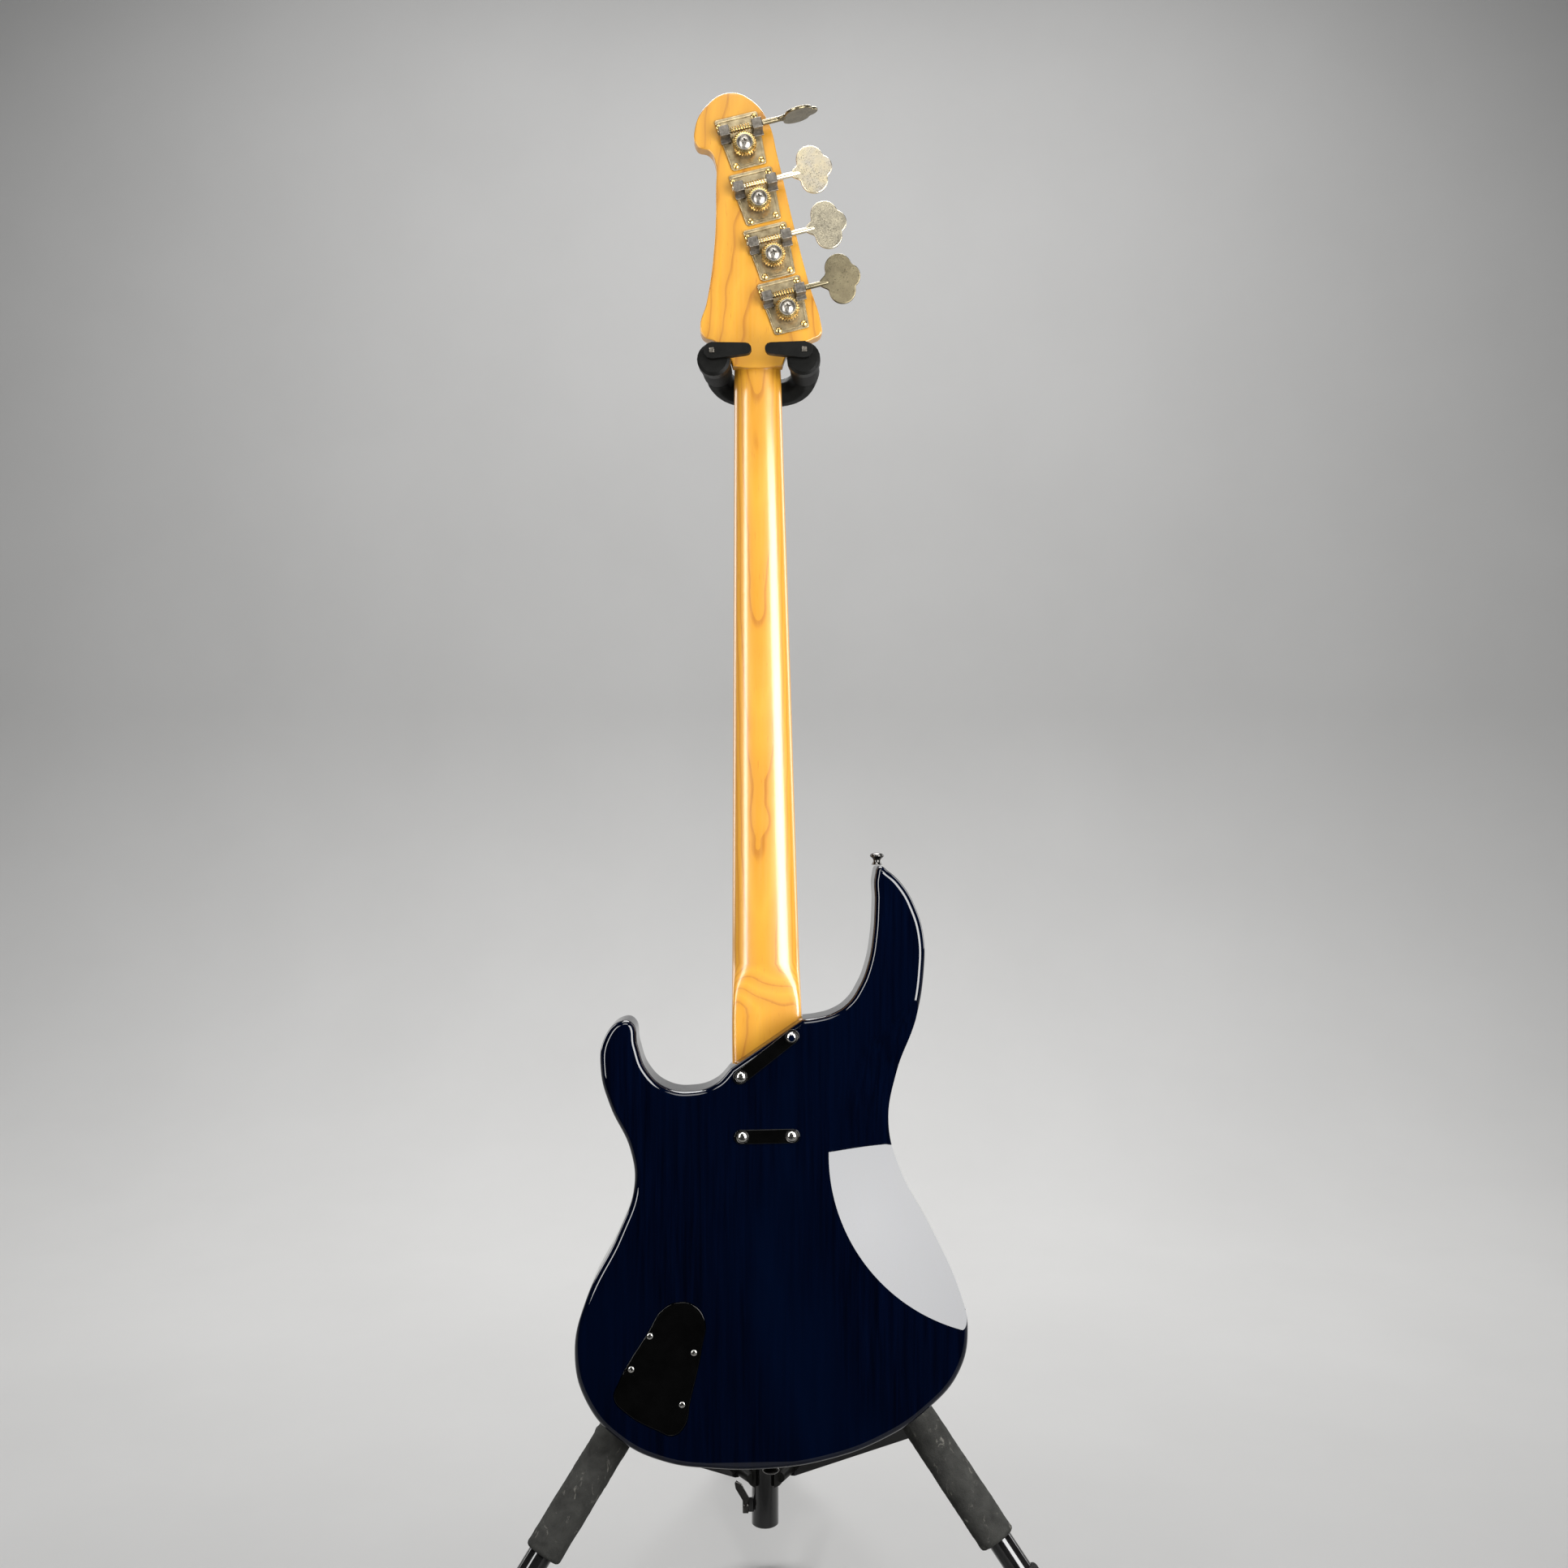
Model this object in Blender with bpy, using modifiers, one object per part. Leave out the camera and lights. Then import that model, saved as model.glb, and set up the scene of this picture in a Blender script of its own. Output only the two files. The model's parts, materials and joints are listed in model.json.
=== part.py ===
"""A four-string bass guitar hanging in a tripod stand with a self-closing neck yoke.

Metres, +Z up. The back of the bass faces -Y and the pole of the stand is behind it, at +Y.
The origin lies on the floor, in the middle of the box round the three feet.

Three empties carry the pieces:
  stand  on the floor under the pole, unturned
  yoke   on the pole axis, turned with the yoke, heights still counted from the floor
  bass   at the nut, on the plane of the body's back: x across, y towards the strings, z up the neck
"""

import math

import bmesh
import bpy
from mathutils import Matrix, Vector

MM = 0.001
GAP = 0.0003

# Tripod: each leg's axis falls in a straight line from the pole axis to its foot.
LEG_APEX = 0.3614
LEG_FALL = 1.235
TRIPOD_TURN = math.radians(3.76)
LEG_AZIMUTH = {
    "front_left": math.radians(-60) + TRIPOD_TURN,
    "front_right": math.radians(60) + TRIPOD_TURN,
    "rear": math.radians(180) + TRIPOD_TURN,
}
HUB_PIVOT_REACH = 0.0425
BRACE_PIVOT_REACH = 0.1633
COLLAR_PIVOT_REACH = 0.0198
COLLAR_PIVOT_HEIGHT = 0.0893
LEG_RADIUS = 0.0111
FOAM_RADIUS = 0.0168
FOAM_SAG = 0.0018
FOAM_REACH = (0.113, 0.2313)
FOOT_RADIUS = 0.015
FOOT_CENTRE_HEIGHT = 0.013
FOOT_LENGTH = 0.050
BRACE_OFFSET = 0.0187
BRACE_SIDES = {"front_left": -1, "front_right": 1, "rear": -1}
BRACE_WIDTH = 0.012
BRACE_THICKNESS = 0.0025

# Pole
LOWER_TUBE_RADIUS = 0.0128
LOWER_TUBE_BORE = 0.0113
LOWER_TUBE_SPAN = (0.042, 0.640)
UPPER_TUBE_RADIUS = 0.010
UPPER_TUBE_SPAN = (0.400, 1.081)

# Yoke
YOKE_TURN = math.radians(-2.28)
ARM_SPREAD = 0.0393
ARM_HEIGHT = 1.1113
ARM_TIP = -0.1110
ARM_ROOT = -0.0620
ROD_RADIUS = 0.007
SLEEVE_RADIUS = 0.0132
YOKE_BASE_RADIUS = 0.0125
BASE_HEIGHT = 1.0980
STEM_Y = -0.039
LATCH_RING_RADIUS = 0.0146
LATCH_REACH = 0.0285
PIVOT_HOLE = 0.0033

# Where the bass hangs, seen from the pole, and how it leans, rolls and faces.
BASS_AT = Vector((-0.00488, -0.12054, 1.12777))
BASS_TURN = (math.radians(-1.5), math.radians(-0.775), math.radians(1.5))

# Bass: depths are measured from the body's back face towards the strings.
SCALE_LENGTH = 0.864
BODY_THICKNESS = 0.045
BODY_EDGE = 0.006
HEEL_DEPTH = 0.025
HEEL_END = -0.705
FINGERBOARD_DEPTH = (0.0493, 0.055)
FINGERBOARD_END = -0.664
NUT_HALF_WIDTH = 0.0206
NECK_TAPER = 0.01704
NECK_TOP = 0.049
HEAD_DEPTH = (0.031, 0.045)
POST_RADIUS = 0.005
POSTS = [(-9.1, 179.7), (3.1, 130.1), (15.2, 80.6), (26.8, 32.4)]
TUNER_TURN = math.radians(-13.5)
WORM_OFFSET = 0.0141
WORM_DEPTH = 0.0222
KEY_TURNS = [math.radians(t) for t in (99, 0, 0, 12)]
STRING_SPREAD_NUT = 0.0096
STRING_SPREAD_BRIDGE = 0.0190
STRING_RADII = [0.00055, 0.00075, 0.0010, 0.0013]
BOLT_RADIUS = 0.0024
UPPER_BOLTS = [(-23.2, -638.4), (20.4, -605.3)]
LOWER_BOLTS = [(-22.7, -689.7), (19.6, -689.7)]
PICKUP_CENTRES = [-0.735, -0.805]
PICKUP_SIZE = (0.094, 0.018, 0.024)
KNOBS = [(-78, -846), (-96, -866), (-113, -888)]
JACK_AT = (-118, -912)
BELLY_CENTRE = Vector((0.206, 0.0, -0.709))
BELLY_REACH = 0.155
BELLY_RADIUS = 0.4256

BODY_OUTLINE = [
    (30.5, -591), (44, -589.5), (57, -586), (69.5, -578), (79.5, -564), (87, -546), (92, -521), (94.3, -490),
    (94.8, -468), (98.4, -460.3), (107, -465), (119.3, -477.5), (129.3, -496), (136, -520), (136, -550),
    (128, -594), (111.5, -639), (104.2, -684), (115, -727), (142, -779), (163.5, -830), (168.8, -858), (161, -894),
    (133, -926), (91, -952), (45, -967), (0, -973), (-50, -972), (-93.5, -965), (-131, -946), (-158, -915),
    (-168.5, -872), (-158, -826), (-130, -771), (-116, -731), (-119, -700), (-136, -662), (-143.5, -632),
    (-140, -604), (-126.5, -590), (-116.5, -591), (-111.5, -611), (-104, -632), (-88, -647), (-65, -650.8),
    (-45, -645), (-31.6, -632),
]
BODY_CORNERS = (0, 46)
HEAD_OUTLINE = [
    (-22, 229.8), (-1.5, 222.4), (12.5, 203), (20, 173), (34.3, 107.8), (46.7, 57.4), (57, 20.7), (57, 12.5),
    (48.2, 7.1), (36, 1.5), (26.5, -6), (22, -16), (0, -18), (-22, -16), (-25.5, -7), (-31, -0.5), (-38.4, 6.6),
    (-48, 10.5), (-50.8, 19.2), (-45, 40), (-37.3, 91.3), (-35.2, 140), (-36.3, 170), (-41, 177.3), (-51.5, 181.5),
    (-53.2, 197), (-42.6, 218),
]
HEAD_CORNERS = (11, 13)
COVER_OUTLINE = [
    (-80.5, -829.7), (-94, -836.5), (-104, -852), (-131, -896.6), (-134.8, -909), (-125, -921.5), (-97, -937.7),
    (-86, -941.8), (-76.3, -935.3), (-70, -912), (-59.5, -866.7), (-57, -846), (-65, -833),
]

PAINTS = {
    "black_steel": ((0.012, 0.012, 0.013), 0.25, 0.0),
    "black_plastic": ((0.020, 0.020, 0.021), 0.5, 0.0),
    "black_rubber": ((0.028, 0.028, 0.028), 0.7, 0.0),
    "grey_foam": ((0.060, 0.060, 0.057), 0.95, 0.0),
    "blue_lacquer": ((0.004, 0.008, 0.028), 0.06, 0.0),
    "maple": ((0.780, 0.470, 0.130), 0.3, 0.0),
    "rosewood": ((0.060, 0.028, 0.016), 0.5, 0.0),
    "bone": ((0.780, 0.740, 0.640), 0.4, 0.0),
    "black_gloss": ((0.006, 0.006, 0.006), 0.12, 0.0),
    "chrome": ((0.700, 0.700, 0.690), 0.15, 1.0),
    "dark_nickel": ((0.080, 0.078, 0.076), 0.25, 1.0),
    "aged_nickel": ((0.460, 0.400, 0.280), 0.38, 1.0),
    "brass": ((0.640, 0.460, 0.180), 0.3, 1.0),
    "steel": ((0.550, 0.540, 0.520), 0.3, 1.0),
}


# --- Blender helpers ---


def clear_scene():
    for obj in list(bpy.data.objects):
        bpy.data.objects.remove(obj, do_unlink=True)


def paint(name):
    """The named Principled material, made the first time it is asked for."""
    if name in bpy.data.materials:
        return bpy.data.materials[name]
    colour, roughness, metallic = PAINTS[name]
    material = bpy.data.materials.new(name)
    material.use_nodes = True
    shader = material.node_tree.nodes["Principled BSDF"]
    shader.inputs["Base Color"].default_value = (*colour, 1.0)
    shader.inputs["Roughness"].default_value = roughness
    shader.inputs["Metallic"].default_value = metallic
    return material


def add_object(name, data):
    obj = bpy.data.objects.new(name, data)
    PARTS.objects.link(obj)
    return obj


def add_empty(name, location, rotation=(0, 0, 0), parent=None):
    empty = add_object(name, None)
    empty.location = location
    empty.rotation_euler = rotation
    empty.parent = parent
    return empty


def place(obj, material, parent, location=(0, 0, 0), rotation=(0, 0, 0)):
    """Give a finished piece its material, parent and place."""
    obj.data.materials.clear()
    obj.data.materials.append(paint(material))
    obj.parent = parent
    obj.location = location
    obj.rotation_euler = rotation
    return obj


def copy_of(obj, name):
    """Another object on the same mesh."""
    return add_object(name, obj.data)


def bake(obj):
    """Turn a curve or a mesh with modifiers into a plain, welded, smooth-shaded mesh object."""
    bpy.context.view_layer.update()
    evaluated = obj.evaluated_get(bpy.context.evaluated_depsgraph_get())
    mesh = bpy.data.meshes.new_from_object(evaluated)
    bm = bmesh.new()
    bm.from_mesh(mesh)
    bmesh.ops.remove_doubles(bm, verts=bm.verts, dist=1e-6)
    bmesh.ops.dissolve_degenerate(bm, edges=bm.edges, dist=1e-7)
    bmesh.ops.recalc_face_normals(bm, faces=bm.faces)
    bm.to_mesh(mesh)
    bm.free()
    mesh.shade_smooth()
    mesh.set_sharp_from_angle(angle=math.radians(35))
    name = obj.name
    baked = add_object("baked", mesh)
    bpy.data.objects.remove(obj, do_unlink=True)
    baked.name = name
    return baked


def combine(obj, tool, operation):
    """Join or cut obj with tool, keep the result and drop the tool."""
    modifier = obj.modifiers.new(operation.title(), "BOOLEAN")
    modifier.operation = operation
    modifier.object = tool
    baked = bake(obj)
    bpy.data.objects.remove(tool, do_unlink=True)
    return baked


def joined(obj, *tools):
    for tool in tools:
        obj = combine(obj, tool, "UNION")
    return obj


def cut(obj, *tools):
    for tool in tools:
        obj = combine(obj, tool, "DIFFERENCE")
    return obj


def from_bmesh(name, bm):
    mesh = bpy.data.meshes.new(name)
    bmesh.ops.recalc_face_normals(bm, faces=bm.faces)
    bm.to_mesh(mesh)
    bm.free()
    mesh.shade_smooth()
    mesh.set_sharp_from_angle(angle=math.radians(35))
    return add_object(name, mesh)


def rods(name, spans, radius, segments=16):
    """Closed cylinders, one between each pair of points."""
    bm = bmesh.new()
    for start, end in spans:
        start, end = Vector(start), Vector(end)
        turn = (end - start).to_track_quat("Z", "Y").to_matrix().to_4x4()
        bmesh.ops.create_cone(
            bm, cap_ends=True, segments=segments, radius1=radius, radius2=radius,
            depth=(end - start).length, matrix=Matrix.Translation((start + end) / 2) @ turn,
        )
    return from_bmesh(name, bm)


def block(name, low, high, edge=0.0):
    """A box between two corners, with its edges rounded when edge is given."""
    low, high = Vector(low), Vector(high)
    bm = bmesh.new()
    matrix = Matrix.Translation((low + high) / 2) @ Matrix.Diagonal((*(high - low), 1.0))
    bmesh.ops.create_cube(bm, size=1.0, matrix=matrix)
    if edge:
        bmesh.ops.bevel(bm, geom=bm.edges, offset=edge, segments=2, affect="EDGES", profile=0.5)
    return from_bmesh(name, bm)


def turned(name, profile, segments=24, closed=False):
    """Spin (radius, height) points in millimetres, listed down the outer side, about Z."""
    count = len(profile)
    edges = [(i, i + 1) for i in range(count - 1)] + ([(count - 1, 0)] if closed else [])
    mesh = bpy.data.meshes.new(name)
    mesh.from_pydata([(r * MM, 0.0, z * MM) for r, z in profile], edges, [])
    obj = add_object(name, mesh)
    screw = obj.modifiers.new("Turn", "SCREW")
    screw.steps = screw.render_steps = segments
    screw.use_merge_vertices = True
    screw.merge_threshold = 0.00001
    return bake(obj)


def plate(name, outline, depths, edge=0.0, corners=(), steps=4, straight=False):
    """A flat outline of (x, z) points in millimetres, between two depths along y."""
    curve = bpy.data.curves.new(name, "CURVE")
    curve.dimensions = "2D"
    curve.fill_mode = "BOTH"
    curve.resolution_u = 1 if straight else steps
    curve.render_resolution_u = 0
    curve.extrude = (depths[1] - depths[0]) / 2 - edge
    curve.bevel_depth = edge
    curve.bevel_resolution = 1
    curve.offset = -edge
    spline = curve.splines.new("BEZIER")
    spline.bezier_points.add(len(outline) - 1)
    spline.use_cyclic_u = True
    for index, (point, (x, z)) in enumerate(zip(spline.bezier_points, outline)):
        point.co = (x * MM, z * MM, 0.0)
        kind = "VECTOR" if straight or index in corners else "AUTO"
        point.handle_left_type = point.handle_right_type = kind
    obj = bake(add_object(name, curve))
    stand_up = Matrix.Rotation(math.radians(90), 4, "X")
    obj.data.transform(Matrix.Translation((0.0, (depths[0] + depths[1]) / 2, 0.0)) @ stand_up)
    return obj


def tube(name, points, radius, steps=3, rounds=2):
    """A round tube along a smooth path."""
    curve = bpy.data.curves.new(name, "CURVE")
    curve.dimensions = "3D"
    curve.resolution_u = steps
    curve.render_resolution_u = 0
    curve.bevel_depth = radius
    curve.bevel_resolution = rounds
    curve.use_fill_caps = True
    spline = curve.splines.new("BEZIER")
    spline.bezier_points.add(len(points) - 1)
    for point, co in zip(spline.bezier_points, points):
        point.co = co
        point.handle_left_type = point.handle_right_type = "AUTO"
    return bake(add_object(name, curve))


def loft(name, sections):
    """A closed body through sections of equally many points."""
    bm = bmesh.new()
    rings = [[bm.verts.new(p) for p in section] for section in sections]
    for ring, following in zip(rings, rings[1:]):
        for i in range(len(ring)):
            j = (i + 1) % len(ring)
            bm.faces.new((ring[i], ring[j], following[j], following[i]))
    bm.faces.new(rings[0])
    bm.faces.new(rings[-1])
    return from_bmesh(name, bm)


def stadium(start, end, radius, steps=5, end_radius=None):
    """Outline points, in millimetres, of a bar with round ends between two (x, z) points."""
    heading = math.atan2(end[1] - start[1], end[0] - start[0])
    outline = []
    for centre, size, first in ((end, end_radius or radius, -math.pi / 2), (start, radius, math.pi / 2)):
        for i in range(steps + 1):
            angle = heading + first + math.pi * i / steps
            outline.append((centre[0] + size * math.cos(angle), centre[1] + size * math.sin(angle)))
    return outline


# --- Tripod ---

LEG_LEAN = math.atan2(1.0, LEG_FALL)
HUB_PIVOT_HEIGHT = LEG_APEX - LEG_FALL * HUB_PIVOT_REACH


def along_leg(reach):
    """Distance from the hub pivot down the leg to the point at this reach from the pole."""
    return (reach - HUB_PIVOT_REACH) / math.sin(LEG_LEAN)


def foot_reach():
    return (LEG_APEX - FOOT_CENTRE_HEIGHT) / LEG_FALL


def outward(azimuth):
    return Vector((math.sin(azimuth), -math.cos(azimuth), 0.0))


def pole_place():
    """The pole's place that puts the box round the feet over the origin."""
    feet = [foot_reach() * outward(a) for a in LEG_AZIMUTH.values()]
    middle = [(min(f[i] for f in feet) + max(f[i] for f in feet)) / 2 for i in (0, 1)]
    return (-middle[0], -middle[1], 0.0)


def leg_place(azimuth, reach=HUB_PIVOT_REACH, height=HUB_PIVOT_HEIGHT):
    """Location of a pivot in an azimuth's plane."""
    return outward(azimuth) * reach + Vector((0.0, 0.0, height))


def leg_rotation(azimuth):
    """Turns -Z down the leg, away from the pole."""
    return (0.0, -LEG_LEAN, azimuth - math.radians(90))


def make_foot(end, hole):
    """A rubber foot round the end of a leg, ball-ended and cut off level with the floor."""
    reach, top = FOOT_RADIUS / MM, end - FOOT_LENGTH / MM
    ball = [(reach * math.cos(math.radians(a)), -end - reach * math.sin(math.radians(a))) for a in (0, 22, 45, 68)]
    skirt = [(0, -end + 2), (hole, -end + 2), (hole, -top), (reach - 2.2, -top), (reach - 1.5, -top - 0.8)]
    foot = turned("foot", skirt + ball + [(0, -end - reach)], 24)
    floor = block("floor", (-0.1, -0.1, -0.1), (0.1, 0.1, 0.0))
    down = Matrix.Translation((0.0, 0.0, -end * MM)) @ Matrix.Rotation(LEG_LEAN, 4, "Y")
    floor.matrix_basis = down @ Matrix.Translation((0.0, 0.0, -FOOT_CENTRE_HEIGHT))
    return cut(foot, floor)


def make_legs(stand):
    """Leg tubes with a flat tongue at the pivot, rubber feet and the foam sleeves, built along -Z."""
    end = along_leg(foot_reach()) / MM
    radius = LEG_RADIUS / MM
    bore = radius - 1.5
    tube_shape = turned(
        "leg",
        [(0, -14), (radius - 1, -14), (radius, -15), (radius, -end + 3), (bore, -end + 3), (bore, -20), (0, -20)], 20,
    )
    tongue = plate("tongue", stadium((0, 0), (0, -18), 8), (-0.006, 0.006), straight=True)
    leg = joined(tube_shape, tongue)
    leg = cut(leg, rods("pin_hole", [((0, -0.02, 0), (0, 0.02, 0))], PIVOT_HOLE))

    hole = radius + GAP / MM
    foot = make_foot(end, hole)
    first, last = (along_leg(reach) / MM for reach in FOAM_REACH)
    foam = rods("foam", [((-FOAM_SAG, 0, -first * MM), (-FOAM_SAG, 0, -last * MM))], FOAM_RADIUS, 24)
    foam = cut(foam, rods("foam_hole", [((0, 0, 0), (0, 0, -0.4))], hole * MM, 20))
    for side, azimuth in LEG_AZIMUTH.items():
        at, turn = leg_place(azimuth), leg_rotation(azimuth)
        place(copy_of(leg, f"leg_{side}"), "black_steel", stand, at, turn)
        place(copy_of(foot, f"foot_{side}"), "black_rubber", stand, at, turn)
        if side != "rear":
            place(copy_of(foam, f"leg_foam_{side[6:]}"), "grey_foam", stand, at, turn)
    for template in (leg, foot, foam):
        bpy.data.objects.remove(template, do_unlink=True)


def make_hub(stand):
    """Sliding hub: a barrel on the pole with a fork and a pin for each leg."""
    bore = LOWER_TUBE_RADIUS / MM + GAP / MM
    low, high = HUB_PIVOT_HEIGHT / MM - 26, HUB_PIVOT_HEIGHT / MM + 34
    hub = turned(
        "leg_hub",
        [(bore, low), (bore, high), (20, high), (22, high - 4), (22, low + 4), (20, low)], 24, closed=True,
    )
    lug = stadium((14, 0), (HUB_PIVOT_REACH / MM, 0), 9)
    for azimuth in LEG_AZIMUTH.values():
        arm = plate("lug", lug, (-0.0103, 0.0103), straight=True)
        slot = block("slot", (0.026, -0.0064, -0.02), (0.06, 0.0064, 0.02))
        fork = cut(arm, slot)
        fork = joined(fork, rods("pin", [((HUB_PIVOT_REACH, -0.0125, 0), (HUB_PIVOT_REACH, 0.0125, 0))], 0.003, 12))
        heading = Matrix.Rotation(azimuth - math.radians(90), 4, "Z")
        fork.data.transform(Matrix.Translation((0, 0, HUB_PIVOT_HEIGHT)) @ heading)
        bore_clear = rods("bore", [((0, 0, low * MM - 0.01), (0, 0, high * MM + 0.01))], bore * MM, 24)
        hub = joined(hub, cut(fork, bore_clear))
    place(hub, "black_plastic", stand)


def make_braces(stand):
    """Braces: a strip along one side of each leg, riveted to it and to the collar."""
    rise = LEG_APEX - LEG_FALL * BRACE_PIVOT_REACH - COLLAR_PIVOT_HEIGHT
    reach = BRACE_PIVOT_REACH - COLLAR_PIVOT_REACH
    length = math.hypot(rise, reach)
    outline = stadium((0, 0), (length / MM, 0), BRACE_WIDTH / 2 / MM)
    for name, azimuth in LEG_AZIMUTH.items():
        side = BRACE_SIDES[name]
        faces = sorted(side * (BRACE_OFFSET + half) for half in (-BRACE_THICKNESS / 2, BRACE_THICKNESS / 2))
        strip = plate(f"brace_{name}", outline, faces, straight=True)
        outer = side * (BRACE_OFFSET + BRACE_THICKNESS / 2)
        heads = [((x, outer - side * 0.0004, 0), (x, outer + side * 0.0014, 0)) for x in (0.0, length)]
        place_at = leg_place(azimuth, COLLAR_PIVOT_REACH, COLLAR_PIVOT_HEIGHT)
        turn = (0.0, -math.atan2(rise, reach), azimuth - math.radians(90))
        place(joined(strip, rods("rivets", heads, 0.0038, 14)), "black_steel", stand, place_at, turn)


def make_collar(stand):
    """Brace collar fixed at the foot of the lower tube, open at the front, and the small lever below it."""
    bore = (LOWER_TUBE_RADIUS + GAP) / MM
    collar = turned(
        "brace_collar", [(bore, 81), (bore, 108), (15.8, 108), (16.8, 106), (16.8, 83), (15.8, 81)], 24, closed=True
    )
    mouth = block("mouth", (-0.0085, -0.03, 0.07), (0.0085, -0.008, 0.12))
    clear = rods("clear", [((0, 0, 0.05), (0, 0, 0.13))], bore * MM, 24)
    half = BRACE_OFFSET - BRACE_THICKNESS / 2 - GAP
    bars = []
    for name, azimuth in LEG_AZIMUTH.items():
        centre = leg_place(azimuth, COLLAR_PIVOT_REACH - 0.003, COLLAR_PIVOT_HEIGHT + 0.0005)
        across = Vector((math.cos(azimuth), math.sin(azimuth), 0.0)) * BRACE_SIDES[name]
        bars.append(rods("bar", [(centre - across * 0.003, centre + across * half)], 0.0052, 12))
    place(cut(joined(collar, *bars), mouth, clear), "black_plastic", stand)
    lever = plate(
        "collar_lever", [(2.6, -6), (3.2, 8), (-4, 21), (-9, 24), (-10.5, 22), (-9.5, 17), (-3, 6), (-2.8, -6)],
        (-0.0095, -0.0065), straight=True,
    )
    pin = rods("pin", [((0, -0.0110, 0), (0, -0.0080, 0))], 0.0026, 16)
    place(joined(lever, pin), "steel", stand, (-0.0181, 0.0, 0.0614))


# --- Pole ---


def make_pole(stand):
    """Lower tube, closed at its foot, the upper tube that slides in it, and the clutch that grips it."""
    low, high = (h / MM for h in LOWER_TUBE_SPAN)
    outer, inner = LOWER_TUBE_RADIUS / MM, LOWER_TUBE_BORE / MM
    lower = turned(
        "lower_tube", [(0, low + 4), (inner, low + 4), (inner, high), (outer, high), (outer, low + 1), (outer - 1, low),
                       (0, low)], 24,
    )
    lug = block("lug", (-0.0205, -0.0062, 0.055), (-0.0105, -0.0022, 0.068), 0.001)
    lower = cut(joined(lower, lug), rods("inside", [((0, 0, low * MM + 0.004), (0, 0, 0.2))], inner * MM, 24))
    place(lower, "black_steel", stand)
    low, high = (h / MM for h in UPPER_TUBE_SPAN)
    outer = UPPER_TUBE_RADIUS / MM
    upper = turned(
        "upper_tube", [(0, high), (outer, high), (outer, low), (outer - 1.5, low), (outer - 1.5, high - 3),
                       (0, high - 3)], 20,
    )
    place(upper, "black_steel", stand)


def make_clutch(stand):
    """Height clutch on top of the lower tube and its squeeze lever at the back."""
    top = LOWER_TUBE_SPAN[1] / MM
    lower_bore = (LOWER_TUBE_RADIUS + GAP) / MM
    upper_bore = (UPPER_TUBE_RADIUS + GAP) / MM
    clutch = turned(
        "height_clutch",
        [(lower_bore, top - 40), (lower_bore, top + 0.5), (upper_bore, top + 0.5), (upper_bore, top + 28),
         (17, top + 28), (20, top + 24), (20, top - 32), (17, top - 40)], 24, closed=True,
    )
    ears = [
        block("ear", (x, 0.015, 0.646), (x + 0.003, 0.0305, 0.662), 0.0008) for x in (-0.0095, 0.0065)
    ]
    pin = rods("pin", [((-0.0105, 0.0255, 0.654), (0.0105, 0.0255, 0.654))], 0.002, 12)
    place(joined(clutch, *ears, pin), "black_plastic", stand)
    lever = block("clutch_lever", (-0.006, -0.004, -0.044), (0.006, 0.004, 0.005), 0.0015)
    lever = cut(lever, rods("hole", [((-0.02, 0, 0), (0.02, 0, 0))], 0.0023, 12))
    place(lever, "black_plastic", stand, (0.0, 0.0255, 0.654), (math.radians(16), 0.0, 0.0))


# --- Yoke ---


def make_yoke_head(yoke):
    """Socket on top of the pole with a guide for the yoke's stem in front."""
    bore = (UPPER_TUBE_RADIUS + GAP) / MM
    roof = UPPER_TUBE_SPAN[1] / MM + 0.5
    low, high = roof - 28, roof + 13
    head = turned(
        "yoke_head", [(0, high), (14, high), (16, high - 3), (16, low), (bore, low), (bore, roof), (0, roof)], 24
    )
    guide = block("guide", (-0.0115, STEM_Y - 0.011, low * MM + 0.002), (0.0115, -0.0115, low * MM + 0.028), 0.003)
    socket = rods("socket", [((0, 0, low * MM - 0.01), (0, 0, roof * MM))], bore * MM, 24)
    channel = rods("channel", [((0, STEM_Y, low * MM - 0.01), (0, STEM_Y, high * MM + 0.02))], 0.0063, 16)
    place(cut(joined(head, guide), socket, channel), "black_plastic", yoke)


def make_yoke_frame(yoke):
    """The part that sinks under the bass's weight: a U-shaped bar, two arms and a stem."""
    side = [(ARM_SPREAD, ARM_ROOT, ARM_HEIGHT - 0.0005), (ARM_SPREAD - 0.001, ARM_ROOT + 0.008, ARM_HEIGHT - 0.003),
            (0.030, ARM_ROOT + 0.018, BASE_HEIGHT + 0.004), (0.016, STEM_Y - 0.001, BASE_HEIGHT + 0.001)]
    path = [(-x, y, z) for x, y, z in side] + [(0.0, STEM_Y, BASE_HEIGHT)] + side[::-1]
    frame = tube("yoke_frame", path, YOKE_BASE_RADIUS)
    for x in (-ARM_SPREAD, ARM_SPREAD):
        span = ((x, ARM_TIP, ARM_HEIGHT), (x, ARM_ROOT + 0.006, ARM_HEIGHT))
        frame = joined(frame, rods("arm", [span], ROD_RADIUS))
    stem = rods("stem", [((0, STEM_Y, UPPER_TUBE_SPAN[1] - 0.040), (0, STEM_Y, BASE_HEIGHT))], 0.006)
    place(joined(frame, stem), "black_rubber", yoke)


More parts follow.
